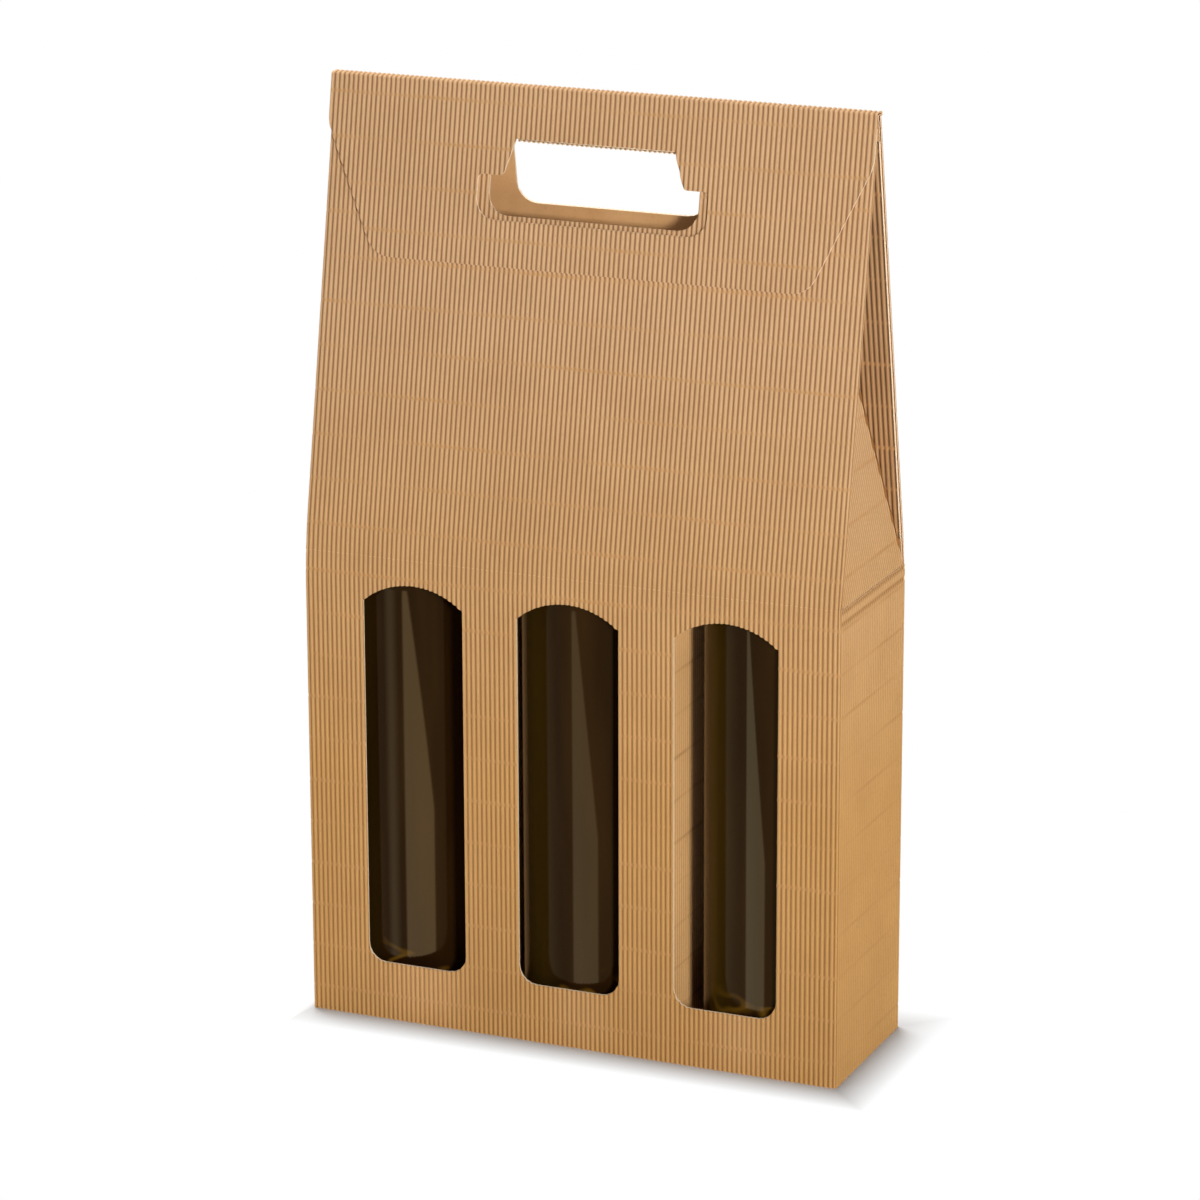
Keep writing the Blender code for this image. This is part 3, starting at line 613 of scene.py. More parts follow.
@dataclass
class Sheet:
    """One panel of board: its fluted paper over its liner, cut to an outline and folded to place.

    The outline lies flat, with x across the flutes and y along them, and shape() takes a place on
    it and a height above the board's inner face to a point of the carrier.
    """

    name: str
    shape: Shape
    pinch_start: float = 0.0
    crush: Callable[[float, float], float] = lambda across, along: 0.0
    cuts: CutEdges = CutEdges()
    fold_rows: Sequence[float] = ()
    fold_columns: Sequence[float] = ()

    def build(self, bm: bmesh.types.BMesh, papers: Papers) -> bpy.types.Object:
        """Make the panel from its flat outline.

        Args:
            bm: The outline of each paper as faces at height 0, which this uses up.
            papers: The papers that it is dressed in.

        Returns:
            The finished panel.
        """
        across = [vert.co.x for vert in bm.verts]
        along = [vert.co.y for vert in bm.verts]
        rows = FLUTES.rows(min(along), max(along), self.pinch_start)
        columns = FLUTES.columns(min(across), max(across))
        self.slice(bm, Face.FLUTED, sorted({*rows, *self.fold_rows}), columns)
        self.slice(bm, Face.LINER, sorted(self.fold_rows), sorted(self.fold_columns))
        bmesh.ops.dissolve_degenerate(bm, dist=MERGE, edges=bm.edges[:])
        loose = [vert for vert in bm.verts if not vert.link_faces]
        bmesh.ops.delete(bm, geom=loose, context="VERTS")
        self.close_cuts(bm)
        tone = bm.verts.layers.float_color.new(TONE)
        for vert in bm.verts:
            if any(one.material_index == Face.FLUTED.value for one in vert.link_faces):
                self.flute(vert, tone)
            else:
                vert.co = self.shape(vert.co.x, vert.co.y, FLUTES.paper)
        for edge in bm.edges:
            papers_met = {one.material_index for one in edge.link_faces}
            edge.smooth = not edge.is_boundary and len(papers_met) == 1
        for one in bm.faces:
            one.smooth = True
            if one.material_index == Face.LINER.value:
                one.material_index = Face.FLUTED.value
        return self.finish(bm, papers)

    def close_cuts(self, bm: bmesh.types.BMesh) -> None:
        """Draw the fluted paper's cut edges out, so that they reach down to the liner."""
        rims = [edge for edge in bm.edges if edge.is_boundary and self.cuts.holds(edge)
                and edge.link_faces[0].material_index == Face.FLUTED.value]
        if rims:
            made = bmesh.ops.extrude_edge_only(bm, edges=rims)
            for item in made["geom"]:
                if isinstance(item, bmesh.types.BMFace):
                    item.material_index = Face.CUT.value

    def slice(self, bm: bmesh.types.BMesh, layer: Face, rows: list[float],
              columns: list[float]) -> None:
        """Slice one paper along its columns and rows."""
        for axis, cuts in ((0, columns), (1, rows)):
            faces = [one for one in bm.faces if one.material_index == layer.value]
            comb(bm, faces, cuts, axis)

    def flute(self, vert: bmesh.types.BMVert, tone: object) -> None:
        """Lift a point of the fluted paper to the wave, note its tone and fold it to its place."""
        across, along = vert.co.x, vert.co.y
        depth = FLUTES.depth(across)
        pinch = FLUTES.pinch(along, self.pinch_start) * FLUTES.pinch_share
        pinch *= FLUTES.patch(across, along, self.pinch_start)
        depth += (FLUTES.pinched - depth) * pinch
        crush = self.crush(across, along)
        swing = FLUTES.crest - FLUTES.valley
        uneven = patches(FLUTES.uneven_cells, across, along, self.pinch_start)
        height = FLUTES.crest - swing * (depth + (1 - depth) * crush)
        height -= FLUTES.unevenness * (1 + uneven) / 2
        vert[tone] = (depth, pinch, crush, 1.0)
        vert.co = self.shape(across, along, height)

    def finish(self, bm: bmesh.types.BMesh, papers: Papers) -> bpy.types.Object:
        """Hand the mesh over as an object and give its papers their thickness."""
        piece = hand_over(self.name, bm, papers.in_order())
        paper = piece.modifiers.new("paper", "SOLIDIFY")
        paper.thickness = FLUTES.paper
        paper.offset = -1.0
        paper.use_rim = True
        paper.material_offset = Face.LINER.value
        paper.material_offset_rim = Face.CUT.value
        return piece


def panel_frame(origin: Vector, up: Vector, outward: Vector) -> Matrix:
    """Return the frame of a panel: Y runs up the panel and Z points out of it."""
    side = up.cross(outward)
    matrix = Matrix.Identity(4)
    for column, axis in enumerate((side, up, outward, origin)):
        matrix.col[column][:3] = axis
    return matrix


def outward_normal(node: str, hint: Vector) -> Vector:
    """Return a plate's outward direction, which its large plain inner face looks away from."""
    best, area = -hint, 0.0
    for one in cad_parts[node].data.polygons:
        if one.normal.dot(hint) < -0.5 and one.area > area:
            best, area = one.normal.copy(), one.area
    return -best.normalized()


def frame_of(node: str, hint: Vector, along: Vector) -> Matrix:
    """Return a plate's panel frame, read from its CAD node.

    Args:
        node: The CAD node.
        hint: Roughly where its outer face looks.
        along: Roughly where its flutes run.

    Returns:
        The frame, on the inner face, with its x measured from the carrier's middle.
    """
    outward = outward_normal(node, hint)
    up = (along - outward * along.dot(outward)).normalized()
    verts = [vert.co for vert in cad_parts[node].data.vertices]
    inner = min(co.dot(outward) for co in verts)
    low = min(co.dot(up) for co in verts)
    return panel_frame(outward * inner + up * low, up, outward)


@dataclass
class KneeBend:
    """The soft bend of the board where the walls lean in to the gables."""

    lean: float
    reach: float = 0.016
    overlap: float = 0.00035
    steps: int = 5

    def sink(self, away: float) -> float:
        """Return how far the board lies inside the sharp corner at a distance from it."""
        if away >= self.reach:
            return 0.0
        radius = self.reach / math.tan(self.lean / 2)
        return (self.reach - away) ** 2 / (2 * radius)

    def rows(self, knee: float, side: int) -> list[float]:
        """Return the rows that draw the bend on one side of the knee."""
        return [knee + side * self.reach * step / self.steps for step in range(1, self.steps + 1)]


@dataclass
class Sleeve:
    """The four walls as one strip of board that is folded round rounded corners."""

    knee: KneeBend
    radius: float
    side_crush: float = 0.75
    crush_bands: tuple[tuple[float, float], ...] = ((0.001, 0.0016), (0.0062, 0.0018))
    crush_rows: tuple[float, ...] = (0.001, 0.0026, 0.0044, 0.0062, 0.008)
    corner_steps: int = 6
    window_room: float = 0.005
    half_width: float = field(default_factory=lambda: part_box("front_wall")[1].x)
    half_depth: float = field(default_factory=lambda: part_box("back_wall")[1].y)
    top: float = field(default_factory=lambda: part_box("front_wall")[1].z)

    @property
    def straight(self) -> float:
        """Return the run from the middle of the front to where its corner starts."""
        return self.half_width - self.radius

    @property
    def arc(self) -> float:
        """Return the run round one corner."""
        return self.radius * math.pi / 2

    @property
    def side(self) -> float:
        """Return the straight run along one side."""
        return 2 * (self.half_depth - self.radius)

    def shape(self, run: float, along: float, height: float) -> Vector:
        """Fold a place on the strip round the carton.

        Args:
            run: The run from the middle of the front, positive to the right.
            along: The height above the floor.
            height: The height above the board's inner face.

        Returns:
            The point.
        """
        away = self.top - along
        inset = BOARD - height
        rest = abs(run) - self.straight
        corner_x, corner_y = self.straight, self.half_depth - self.radius
        if rest <= 0:
            sunk = inset + self.knee.sink(away)
            return Vector((run, -self.half_depth + sunk, along))
        if rest <= self.arc:
            turn = rest / self.radius
            reach = self.radius - inset - self.knee.sink(away) * math.cos(turn)
            x, y = corner_x + reach * math.sin(turn), -corner_y - reach * math.cos(turn)
        elif rest <= self.arc + self.side:
            x, y = self.half_width - inset, -corner_y + rest - self.arc
        elif rest <= 2 * self.arc + self.side:
            turn = (rest - self.arc - self.side) / self.radius
            reach = self.radius - inset - self.knee.sink(away) * math.sin(turn)
            x, y = corner_x + reach * math.cos(turn), corner_y + reach * math.sin(turn)
        else:
            x = corner_x - (rest - 2 * self.arc - self.side)
            y = self.half_depth - inset - self.knee.sink(away)
        return Vector((math.copysign(1.0, run) * x, y, along))

    def crush(self, run: float, along: float) -> float:
        """Return how flat the flutes are pressed: in two bands under the knee on each side."""
        rest = abs(run) - self.straight - self.arc
        if not 0 <= rest <= self.side:
            return 0.0
        away = self.top - along
        bands = (1 - abs(away - middle) / reach for middle, reach in self.crush_bands)
        return max(0.0, *bands) * self.side_crush

    def fold_columns(self) -> list[float]:
        """Return the cuts that let the liner turn the corners."""
        found = []
        for start in (self.straight, self.straight + self.arc + self.side):
            for step in range(self.corner_steps + 1):
                place = start + self.arc * step / self.corner_steps
                found += [place, -place]
        return sorted(found)

    def rows(self) -> list[float]:
        """Return the rows near the knee."""
        return sorted([*self.knee.rows(self.top, -1),
                       *(self.top - away for away in self.crush_rows)])

    def front_outline(self) -> bmesh.types.BMesh:
        """Return the flat outline of the front and both sides, with the windows cut."""
        bm = take_node("front_wall", panel_frame(-BACK * (self.half_depth - BOARD), UP, -BACK))
        keep_papers(bm)
        extend_sides(bm, self.straight, self.arc + self.side)
        return bm

    def back_outline(self) -> bmesh.types.BMesh:
        """Return the flat outline of the back wall and the corner that leads to it."""
        start = self.straight + self.arc + self.side
        return flat_strip(start, start + self.arc + self.straight + self.half_width, 0.0,
                          self.top)

    def build(self, papers: Papers) -> None:
        """Build and place the walls."""
        common = {
            "shape": self.shape,
            "crush": self.crush,
            "cuts": CutEdges(self.window_room, self.top - self.window_room,
                             self.straight - self.window_room),
            "pinch_start": 0.0118,
            "fold_rows": self.rows(),
            "fold_columns": self.fold_columns(),
        }
        front = Sheet("front_and_sides", **common).build(self.front_outline(), papers)
        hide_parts("front_wall", "left_wall", "right_wall")
        back = Sheet("back_wall_sheet", **common).build(self.back_outline(), papers)
        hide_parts("back_wall")
        for piece in (front, back):
            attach(piece, "carton")
            report(piece)


@dataclass(frozen=True)
class BentLine:
    """A line in a plane: straight runs with rounded corners."""

    points: tuple[tuple[float, float], ...]
    radius: float

    def spans(self) -> list[tuple[float, Vector, Vector, float]]:
        """Return each span as its length, start, heading and turn: arcs have a turn, runs none."""
        places = [Vector(point) for point in self.points]
        found, start = [], places[0]
        for index in range(1, len(places)):
            heading = (places[index] - places[index - 1]).normalized()
            reach = turn = 0.0
            if index + 1 < len(places):
                following = (places[index + 1] - places[index]).normalized()
                turn = math.atan2(heading.cross(following), heading.dot(following))
                reach = self.radius * math.tan(abs(turn) / 2)
            end = places[index] - heading * reach
            found.append(((end - start).length, start, heading, 0.0))
            if turn:
                found.append((self.radius * abs(turn), end, heading, turn))
                start = places[index] + following * reach
        return found

    @property
    def length(self) -> float:
        """Return the line's length."""
        return sum(span[0] for span in self.spans())

    def at(self, run: float, inset: float) -> Vector:
        """Return a point beside the line.

        Args:
            run: How far along the line it is.
            inset: How far to the right of the heading it is.

        Returns:
            The point in the line's plane.
        """
        spans = self.spans()
        for length, start, heading, turn in spans:
            if run <= length + MERGE or (length, start) == spans[-1][:2]:
                break
            run -= length
        if not turn:
            return start + heading * run + Vector((heading.y, -heading.x)) * inset
        side = math.copysign(1.0, turn)
        to_centre = Vector((-heading.y, heading.x)) * side
        swing = Matrix.Rotation(turn * run / length, 2)
        return start + to_centre * self.radius - (swing @ to_centre) * (self.radius + side * inset)


@dataclass
class FlatBoard:
    """A flat panel of board that is cut to the outline of its CAD node."""

    node: str
    body: str
    outward: Vector
    along: Vector
    pinch_start: float = 0.01
    knee: KneeBend | None = None
    corner: float = 0.0
    corner_steps: int = 5
    cuts: CutEdges = CutEdges()
    paper_slot: str = "fluted_kraft"

    def build(self, papers: Papers) -> bpy.types.Object:
        """Build, dress and place the panel."""
        place = frame_of(self.node, self.outward, self.along)
        bm = take_node(self.node, place)
        keep_papers(bm)
        straight = max(vert.co.x for vert in bm.verts) - self.corner
        if self.corner:
            extend_sides(bm, straight, self.corner * math.pi / 2)

        def shape(across: float, along: float, height: float) -> Vector:
            """Stand a place on the panel in the carrier."""
            sunk = 0.0
            if self.knee:
                sunk = self.knee.sink(along)
                along -= self.knee.overlap * max(0.0, 1 - along / self.knee.overlap)
            turn = (abs(across) - straight) / self.corner if self.corner else 0.0
            if turn > 0:
                reach = self.corner - BOARD + height - sunk * math.cos(turn)
                across = math.copysign(straight + reach * math.sin(turn), across)
                height = BOARD - self.corner + reach * math.cos(turn)
                sunk = 0.0
            return place @ Vector((across, along, height - sunk))

        rows = self.knee.rows(0.0, 1) if self.knee else []
        arc = self.corner * math.pi / 2
        folds = [side * (straight + arc * step / self.corner_steps)
                 for side in (-1, 1) for step in range(self.corner_steps)]
        piece = Sheet(self.node + "_sheet", shape, self.pinch_start,
                      cuts=self.cuts, fold_rows=rows,
                      fold_columns=folds if self.corner else ()).build(bm, papers)
        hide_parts(self.node)
        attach(piece, self.body)
        report(piece)
        return piece


@dataclass
class Crest:
    """The narrow strip over the top, whose board rounds into the back gable and the flap."""

    radius: float = 0.0017
    row_count: int = 14

    def build(self, papers: Papers) -> None:
        """Build and place the crest."""
        low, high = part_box("crest_strip")
        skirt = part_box("back_gable")[1].z - 0.0003
        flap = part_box("top_flap")[1].z
        front = low.y - 0.0002
        line = BentLine(((high.y + 0.0001, skirt), (high.y - 0.0001, high.z), (front, high.z),
                         (front - 0.0002, min(skirt, flap))), self.radius)

        def shape(across: float, along: float, height: float) -> Vector:
            """Wrap a place on the strip over the crest."""
            y, z = line.at(along, height - BOARD)
            return Vector((-across, y, z))

        bm = flat_strip(low.x, high.x, 0.0, line.length)
        rows = [line.length * step / self.row_count for step in range(1, self.row_count)]
        piece = Sheet("crest_strip_sheet", shape, 0.5, fold_rows=rows).build(bm, papers)
        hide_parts("crest_strip")
        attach(piece, "crest_strip")
        report(piece)


@dataclass
class Top:
    """The gables, their gussets, the crest, the flap and the lock tab."""

    knee: KneeBend
    corner: float

    def build(self, papers: Papers, folded: Papers) -> None:
        """Build every panel of the top.

        Args:
            papers: The papers of the outer panels.
            folded: The papers of the gussets' halves, which lie in the fold: a darker copy of the
                kraft with painted shade.
        """
        for name, outward in (("front_gable", -BACK), ("back_gable", BACK)):
            FlatBoard(name, name, outward, UP, 0.0125, knee=self.knee, corner=self.corner,
                      cuts=CutEdges(0.03, 0.19, 0.1)).build(papers)
        low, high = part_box("top_flap")
        FlatBoard("top_flap", "top_flap", -BACK, UP, 0.012,
                  cuts=CutEdges(-1.0, high.z - low.z - 0.002)).build(papers)
        Crest().build(papers)
        FlatBoard("lock_tab", "lock_tab", -UP, BACK, 0.05).build(papers)
        FlatBoard("lock_tab_ears", "lock_tab_ears", BACK, UP, 0.05).build(papers)
        for name, side in (("left", -1), ("right", 1)):
            node = name + "_gusset_centre"
            FlatBoard(node, node, RIGHT * side, UP, 0.012).build(papers)
            for end, facing in (("front", -1), ("back", 1)):
                node = name + "_gusset_" + end
                gable = outward_normal(end + "_gable", BACK * facing)
                crease = (UP - gable * gable.z).normalized()
                hint = RIGHT * side * 0.6 - BACK * facing * 0.8
                FlatBoard(node, node, hint, crease, 0.012).build(folded)


def report(piece: bpy.types.Object) -> None:
    """Log a finished piece."""
    LOG.info("%s: %d faces", piece.name, len(piece.data.polygons))


def dress(node: str, material: bpy.types.Material) -> None:
    """Give a CAD node that is right as it is its material."""
    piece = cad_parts[node]
    piece.data.materials.clear()
    piece.data.materials.append(material)
    report(piece)


def quarter_turn(steps: int) -> list[float]:
    """Return the angles that draw a quarter circle, from 0."""
    return [math.pi / 2 * step / steps for step in range(steps + 1)]


@dataclass
class Bottle:
    """One claret bottle, turned about its axis, with its wine, cork and capsule."""

    number: int
    heel_radius: float = 0.005
    punt_radius: float = 0.026
    punt_height: float = 0.016
    body_height: float = 0.206
    shoulder_rise: float = 0.036
    neck_radius: float = 0.0142
    lip_radius: float = 0.0149
    lip_height: float = 0.012
    bore_radius: float = 0.0093
    wall: float = 0.003
    floor: float = 0.005
    lip_soft: float = 0.0006
    capsule_low: float = 0.250
    capsule_thick: float = 0.0005
    crown_radius: float = 0.0012
    shoulder_steps: int = 16
    punt_steps: int = 8
    heel_steps: int = 6
    crown_steps: int = 5
    steps: int = 96

    def node(self, part: str) -> str:
        """Return the name of one of the bottle's CAD nodes."""
        return f"bottle_{self.number}_{part}"

    @property
    def axis(self) -> Vector:
        """Return the point where the bottle's axis meets its foot."""
        low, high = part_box(self.node("glass"))
        return Vector(((low.x + high.x) / 2, (low.y + high.y) / 2, low.z))

    @property
    def radius(self) -> float:
        """Return the body's radius."""
        low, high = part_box(self.node("glass"))
        return (high.x - low.x) / 2

    @property
    def height(self) -> float:
        """Return the bottle's height."""
        low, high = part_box(self.node("glass"))
        return high.z - low.z

    def shoulder(self, body: float, neck: float, drop: float) -> list[tuple[float, float]]:
        """Return the curve of the shoulder, from the body up to the neck."""
        points = []
        for step in range(self.shoulder_steps + 1):
            share = step / self.shoulder_steps
            blend = (1 + math.cos(math.pi * share)) / 2
            points.append((neck + (body - neck) * blend,
                           self.body_height - drop + self.shoulder_rise * share))
        return points

    def heel(self, radius: float, low: float) -> list[tuple[float, float]]:
        """Return the curve of the heel, from the foot out to the body."""
        middle = radius - self.heel_radius
        turns = quarter_turn(self.heel_steps)
        return [(middle + self.heel_radius * math.sin(turn),
                 low + self.heel_radius * (1 - math.cos(turn))) for turn in turns]

    def punt(self, lift: float) -> list[tuple[float, float]]:
        """Return the curve of the hollow foot, from the axis out to where the bottle stands."""
        return [(self.punt_radius * math.sin(turn), self.punt_height * math.cos(turn) + lift)
                for turn in quarter_turn(self.punt_steps)]

    def glass_profile(self) -> list[tuple[float, float]]:
        """Return the glass from its foot up the outside and down the inside, as (radius, z)."""
        top = self.height
        lip_low = top - self.lip_height
        soft = self.lip_soft
        outside = [*self.punt(0.0), *self.heel(self.radius, 0.0),
                   *self.shoulder(self.radius, self.neck_radius, 0.0),
                   (self.neck_radius, lip_low), (self.lip_radius - soft, lip_low),
                   (self.lip_radius, lip_low + soft), (self.lip_radius, top - soft),
                   (self.lip_radius - soft, top), (self.bore_radius, top)]
        inside = [*self.punt(self.floor), *self.heel(self.radius - self.wall, self.floor),
                  *self.shoulder(self.radius - self.wall, self.bore_radius, self.wall)]
        return outside + inside[::-1]

    def capsule_profile(self) -> list[tuple[float, float]]:
        """Return the capsule's outside with its rounded crown, and its inside."""
        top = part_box(self.node("capsule"))[1].z - self.axis.z
        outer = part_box(self.node("capsule"))[1].x - self.axis.x
        thick, crown = self.capsule_thick, self.crown_radius
        outside = [(outer, self.capsule_low),
                   *((outer - crown * (1 - math.cos(turn)), top - crown + crown * math.sin(turn))
                     for turn in quarter_turn(self.crown_steps)), (0.0, top)]
        inside = [(0.0, top - thick), (outer - crown, top - thick),
                  (outer - thick, top - crown), (outer - thick, self.capsule_low)]
        return [inside[-1], *outside, *inside[:-1]]

    def turn(self, part: str, profile: list[tuple[float, float]], closed: bool,
             material: bpy.types.Material) -> None:
        """Turn a profile about the bottle's axis and put it in place of its CAD node."""
        bm = bmesh.new()
        axis = self.axis
        verts = [bm.verts.new(axis + Vector((radius, 0, z))) for radius, z in profile]
        for first, second in zip(verts, verts[1:]):
            bm.edges.new((first, second))
        if closed:
            bm.edges.new((verts[-1], verts[0]))
        bmesh.ops.spin(bm, geom=[*bm.verts, *bm.edges], cent=axis, axis=UP,
                       angle=2 * math.pi, steps=self.steps, use_merge=True)
        bmesh.ops.remove_doubles(bm, verts=bm.verts[:], dist=MERGE)
        bmesh.ops.recalc_face_normals(bm, faces=bm.faces[:])
        for face in bm.faces:
            face.smooth = True
        for edge in bm.edges:
            edge.smooth = edge.calc_face_angle(0.0) < SHARP_ANGLE
        piece = hand_over(self.node(part) + "_turned", bm, (material,))
        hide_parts(self.node(part))
        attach(piece, f"bottle_{self.number}")
        report(piece)

    def build(self, finishes: dict[str, bpy.types.Material]) -> None:
        """Build and dress the bottle.

        Args:
            finishes: The material of each part: glass, wine, cork and capsule.
        """
        self.turn("glass", self.glass_profile(), False, finishes["glass"])
        self.turn("capsule", self.capsule_profile(), True, finishes["capsule"])
        for part in ("wine", "cork"):
            dress(self.node(part), finishes[part])


def build_bottles() -> None:
    """Build the three bottles in their finishes."""
    finishes = {
        "glass": BottleGlass().material(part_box("bottle_1_glass")[0].z),
        "wine": WINE.material(),
        "cork": CORK.material(),
        "capsule": CAPSULE_FOIL.material(),
    }
    for number in (1, 2, 3):
        Bottle(number).build(finishes)


@dataclass(frozen=True)
class Camera:
    """The camera at the photograph's angle."""

    place: tuple[float, float, float] = (0.844895, -1.969414, 0.840271)
    yaw: float = 0.406
    pitch: float = 0.289
    roll: float = -0.003
    focal: float = 4906.956
    frame_width: float = 1200.0
    sensor: float = 36.0

    def build(self) -> None:
        """Place the camera and make it the scene's."""
        cos_yaw, sin_yaw = math.cos(self.yaw), math.sin(self.yaw)
        cos_pitch = math.cos(self.pitch)
        right = Vector((cos_yaw, sin_yaw, 0))
        ahead = Vector((-sin_yaw * cos_pitch, cos_yaw * cos_pitch, -math.sin(self.pitch)))
        above = right.cross(ahead)
        turned = right * math.cos(self.roll) + above * math.sin(self.roll)
        above = above * math.cos(self.roll) - right * math.sin(self.roll)
        matrix = Matrix.Identity(4)
        for column, axis in enumerate((turned, above, -ahead, Vector(self.place))):
            matrix.col[column][:3] = axis
        data = bpy.data.cameras.new("camera")
        data.sensor_width = self.sensor
        data.lens = self.focal * self.sensor / self.frame_width
        data.clip_start, data.clip_end = 0.05, 50.0
        camera = bpy.data.objects.new("camera", data)
        camera.matrix_world = matrix
        bpy.context.scene.collection.objects.link(camera)
        bpy.context.scene.camera = camera


def hang_lamp(name: str, size: tuple[float, float], power: float, colour: Colour,
              place: Vector, aim: Vector) -> bpy.types.Object:
    """Hang a flat lamp that the camera doesn't see.

    Args:
        name: Its name.
        size: Its width and height.
        power: Its power in watts.
        colour: Its colour.
        place: Where its middle is.
        aim: The direction that it faces.

    Returns:
        The lamp.
    """
    data = bpy.data.lights.new(name, "AREA")
    data.shape = "RECTANGLE"
    data.size, data.size_y = size
    data.energy = power
    data.color = colour
    lamp = bpy.data.objects.new(name, data)
    lamp.visible_camera = False
    lamp.matrix_world = (Matrix.Translation(place)
                         @ aim.to_track_quat("-Z", "Y").to_matrix().to_4x4())
    bpy.context.scene.collection.objects.link(lamp)
    return lamp


@dataclass(frozen=True)
class Lamp:
    """A soft flat lamp that looks at a point and that the camera doesn't see."""

    name: str
    place: tuple[float, float, float]
    size: tuple[float, float]
    power: float
    target: tuple[float, float, float] = (0.0, 0.0, 0.2)
    colour: Colour = (1.0, 1.0, 1.0)

    def build(self) -> None:
        """Hang the lamp."""
        place = Vector(self.place)
        hang_lamp(self.name, self.size, self.power, self.colour, place,
                  Vector(self.target) - place)


@dataclass(frozen=True)
class BandLamp:
    """A tall panel close before a window, which shows only as a band in the bottle's gloss.

    The band is straight on its left. On its right it is straight up to the bend and from there
    slants in to the top.
    """

    name: str
    left: float
    right: float
    radiance: float
    colour: Colour = (0.78, 0.9, 1.0)
    top: float = 0.205
    bend: float = 0.45
    top_share: float = 0.2
    soft: float = 0.06
    foot: float = 0.004
    place_y: float = -0.052

    def build(self) -> None:
        """Stand the panel before the window."""
        wide, tall = self.right - self.left, self.top - self.foot
        place = Vector(((self.left + self.right) / 2, self.place_y, (self.foot + self.top) / 2))
        lamp = hang_lamp(self.name, (wide, tall), self.radiance * math.pi * wide * tall,
                         self.colour, place, BACK)
        lamp.visible_diffuse = False
        nodes = Nodes(lamp.data, "Emission")
        spot = nodes.add("ShaderNodeSeparateXYZ")
        nodes.feed(nodes.add("ShaderNodeNewGeometry").outputs["Parametric"], spot.inputs["Vector"])
        across, along = spot.outputs["X"], spot.outputs["Y"]
        edge = nodes.ramp(along, self.bend, 1.0, 1.0, self.top_share)
        mask = nodes.math("MULTIPLY", nodes.ramp(across, 0.0, self.soft, 0.0, 1.0),
                          nodes.ramp(across, nodes.math("SUBTRACT", edge, self.soft), edge,
                                     1.0, 0.0))
        nodes.feed(mask, nodes.shader.inputs["Strength"])


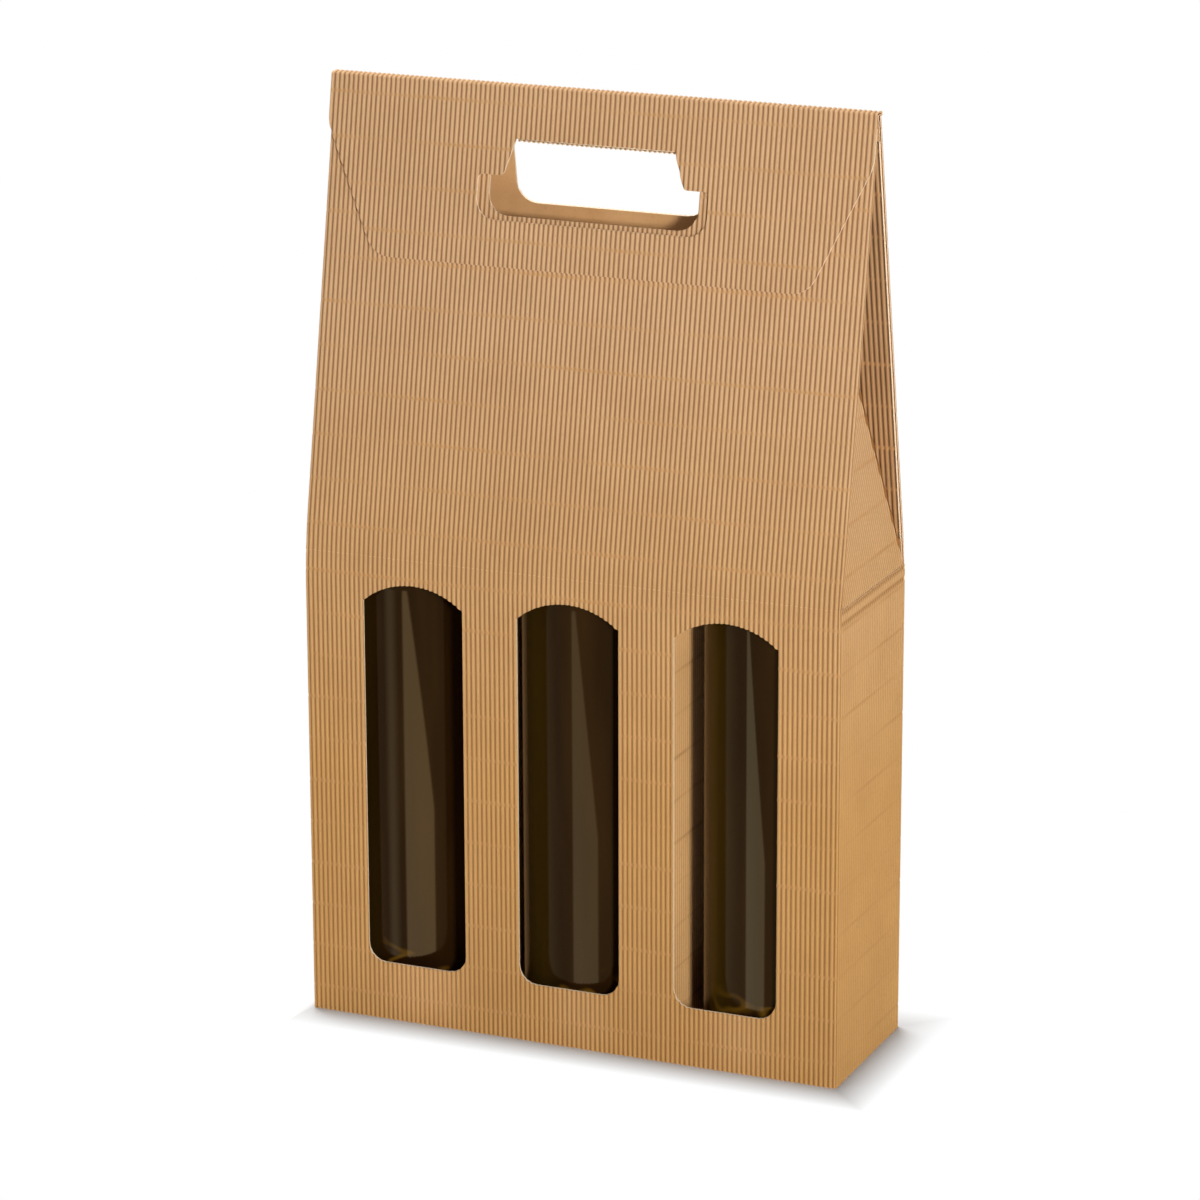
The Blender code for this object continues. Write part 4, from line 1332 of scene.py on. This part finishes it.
@dataclass(frozen=True)
class Studio:
    """White floor, white surroundings and soft lamps."""

    floor_radius: float = 6.0
    floor_colour: Colour = (0.62, 0.62, 0.62)
    floor_shade: Colour = (0.58, 0.58, 0.58)
    shadow_reach: float = 0.020
    left_reach: float = 0.003
    ambient: float = 0.15
    lamps: tuple[Lamp, ...] = (
        Lamp("key_lamp", (1.45, -1.80, 0.75), (0.3, 0.3), 39.0),
        Lamp("left_lamp", (-1.7, -1.7, 2.0), (0.6, 0.6), 9.0),
        Lamp("side_lamp", (2.8, -0.3, 0.9), (1.4, 1.4), 4.0),
        Lamp("top_lamp", (-0.6, 0.7, 2.4), (0.9, 0.9), 56.0),
    )
    bands: tuple[BandLamp, ...] = (
        BandLamp("band_1", -0.0867, -0.057, 6.6, (0.95, 0.97, 1.0)),
        BandLamp("band_1_left", -0.104, -0.090, 3.0, top_share=1.0, soft=0.4),
        BandLamp("band_2", -0.006, 0.0171, 4.8),
        BandLamp("band_3", 0.0738, 0.0926, 6.4, (0.7, 0.87, 1.0)),
    )

    def build(self) -> None:
        """Build the floor, the world and the lamps."""
        self.build_floor()
        self.build_world()
        for lamp in (*self.lamps, *self.bands):
            lamp.build()
        bpy.context.scene.view_settings.view_transform = "Standard"

    @staticmethod
    def background_rays(nodes: Nodes) -> bpy.types.NodeSocket:
        """Return 1 for the rays that see the background: straight, in gloss or through glass."""
        path = nodes.add("ShaderNodeLightPath").outputs
        seen = nodes.math("MAXIMUM", path["Is Camera Ray"], path["Is Glossy Ray"])
        return nodes.math("MAXIMUM", seen, path["Is Transmission Ray"])

    def build_floor(self) -> None:
        """Build the round floor, which keeps the carrier's shadow near it and is white beyond."""
        bm = bmesh.new()
        bmesh.ops.create_circle(bm, cap_ends=True, segments=96, radius=self.floor_radius)
        nodes = Nodes(bpy.data.materials.new("studio_floor"))
        grain = nodes.noise(nodes.place(), 3.0, 2.0)
        nodes.set(Base_Color=nodes.mix(nodes.ramp(grain, 0.3, 0.7, 0.0, 1.0), self.floor_colour,
                                       self.floor_shade), Roughness=0.95,
                  Specular_IOR_Level=0.0)
        away = nodes.add("ShaderNodeSeparateXYZ")
        nodes.feed(nodes.place(), away.inputs["Vector"])
        low, high = CAD_BOX
        far = 0.0
        for axis, edge, reach in (("X", high.x, self.shadow_reach), ("X", low.x, -self.left_reach),
                                  ("Y", high.y, self.shadow_reach),
                                  ("Y", low.y, -self.shadow_reach)):
            far = nodes.math("MAXIMUM", far,
                             nodes.ramp(away.outputs[axis], edge, edge + reach, 0.0, 1.0))
        white = nodes.add("ShaderNodeEmission")
        both = nodes.add("ShaderNodeMixShader")
        nodes.feed(nodes.math("MULTIPLY", far, self.background_rays(nodes)),
                   both.inputs["Fac"])
        nodes.feed(nodes.shader.outputs["BSDF"], both.inputs[1])
        nodes.feed(white.outputs["Emission"], both.inputs[2])
        nodes.feed(both.outputs["Shader"], nodes.tree.nodes["Material Output"].inputs["Surface"])
        floor = hand_over("floor", bm, (nodes.owner,))

    def build_world(self) -> None:
        """Light the scene evenly and show white behind it."""
        world = bpy.data.worlds.new("studio")
        bpy.context.scene.world = world
        nodes = Nodes(world, "Background")
        level = nodes.ramp(self.background_rays(nodes), 0.0, 1.0, self.ambient, 1.0)
        nodes.set(Color=(1.0, 1.0, 1.0), Strength=level)


def main() -> None:
    """Build the carrier's looks, its studio and its camera."""
    logging.basicConfig(level=logging.INFO, format="%(message)s")
    cut = CUT_KRAFT.material()
    papers = Papers(FlutedKraft().material(), LinerKraft().material(), cut)
    # painted shade: the gussets' halves get a darker copy of the kraft, near black between the
    # flutes, for the shade in the fold
    folded = Papers(FlutedKraft("fold_shaded_fluted_kraft", linear(194, 150, 106),
                                linear(186, 138, 86), linear(62, 40, 22),
                                linear(62, 40, 22)).material(), papers.liner, cut)
    # painted light: the dividers and the insert's base get lighter copies of the kraft, so that
    # they look lit through the windows
    insert = Papers(FlutedKraft("painted_light_insert_fluted_kraft", linear(236, 184, 122),
                                linear(236, 184, 122)).material(),
                    LinerKraft("insert_kraft", linear(236, 186, 126),
                               linear(226, 175, 115)).material(), cut)
    lean = math.asin(outward_normal("front_gable", -BACK).z)
    knee = KneeBend(lean)
    Sleeve(knee, FOLD_RADIUS).build(papers)
    Top(knee, FOLD_RADIUS).build(papers, folded)
    for name in ("glue_flap", "front_bottom_flap", "left_bottom_flap", "right_bottom_flap",
                 "back_bottom_flap"):
        dress(name, papers.liner)
    dress("insert_base", insert.liner)
    for name, side in (("left_divider", -1), ("right_divider", 1)):
        FlatBoard(name, "carton", RIGHT * side, UP, 0.0118, cuts=CutEdges(0.001, 1.0),
                  paper_slot="insert_kraft").build(insert)
    build_bottles()
    Studio().build()
    Camera().build()


if __name__ == "__main__":
    main()
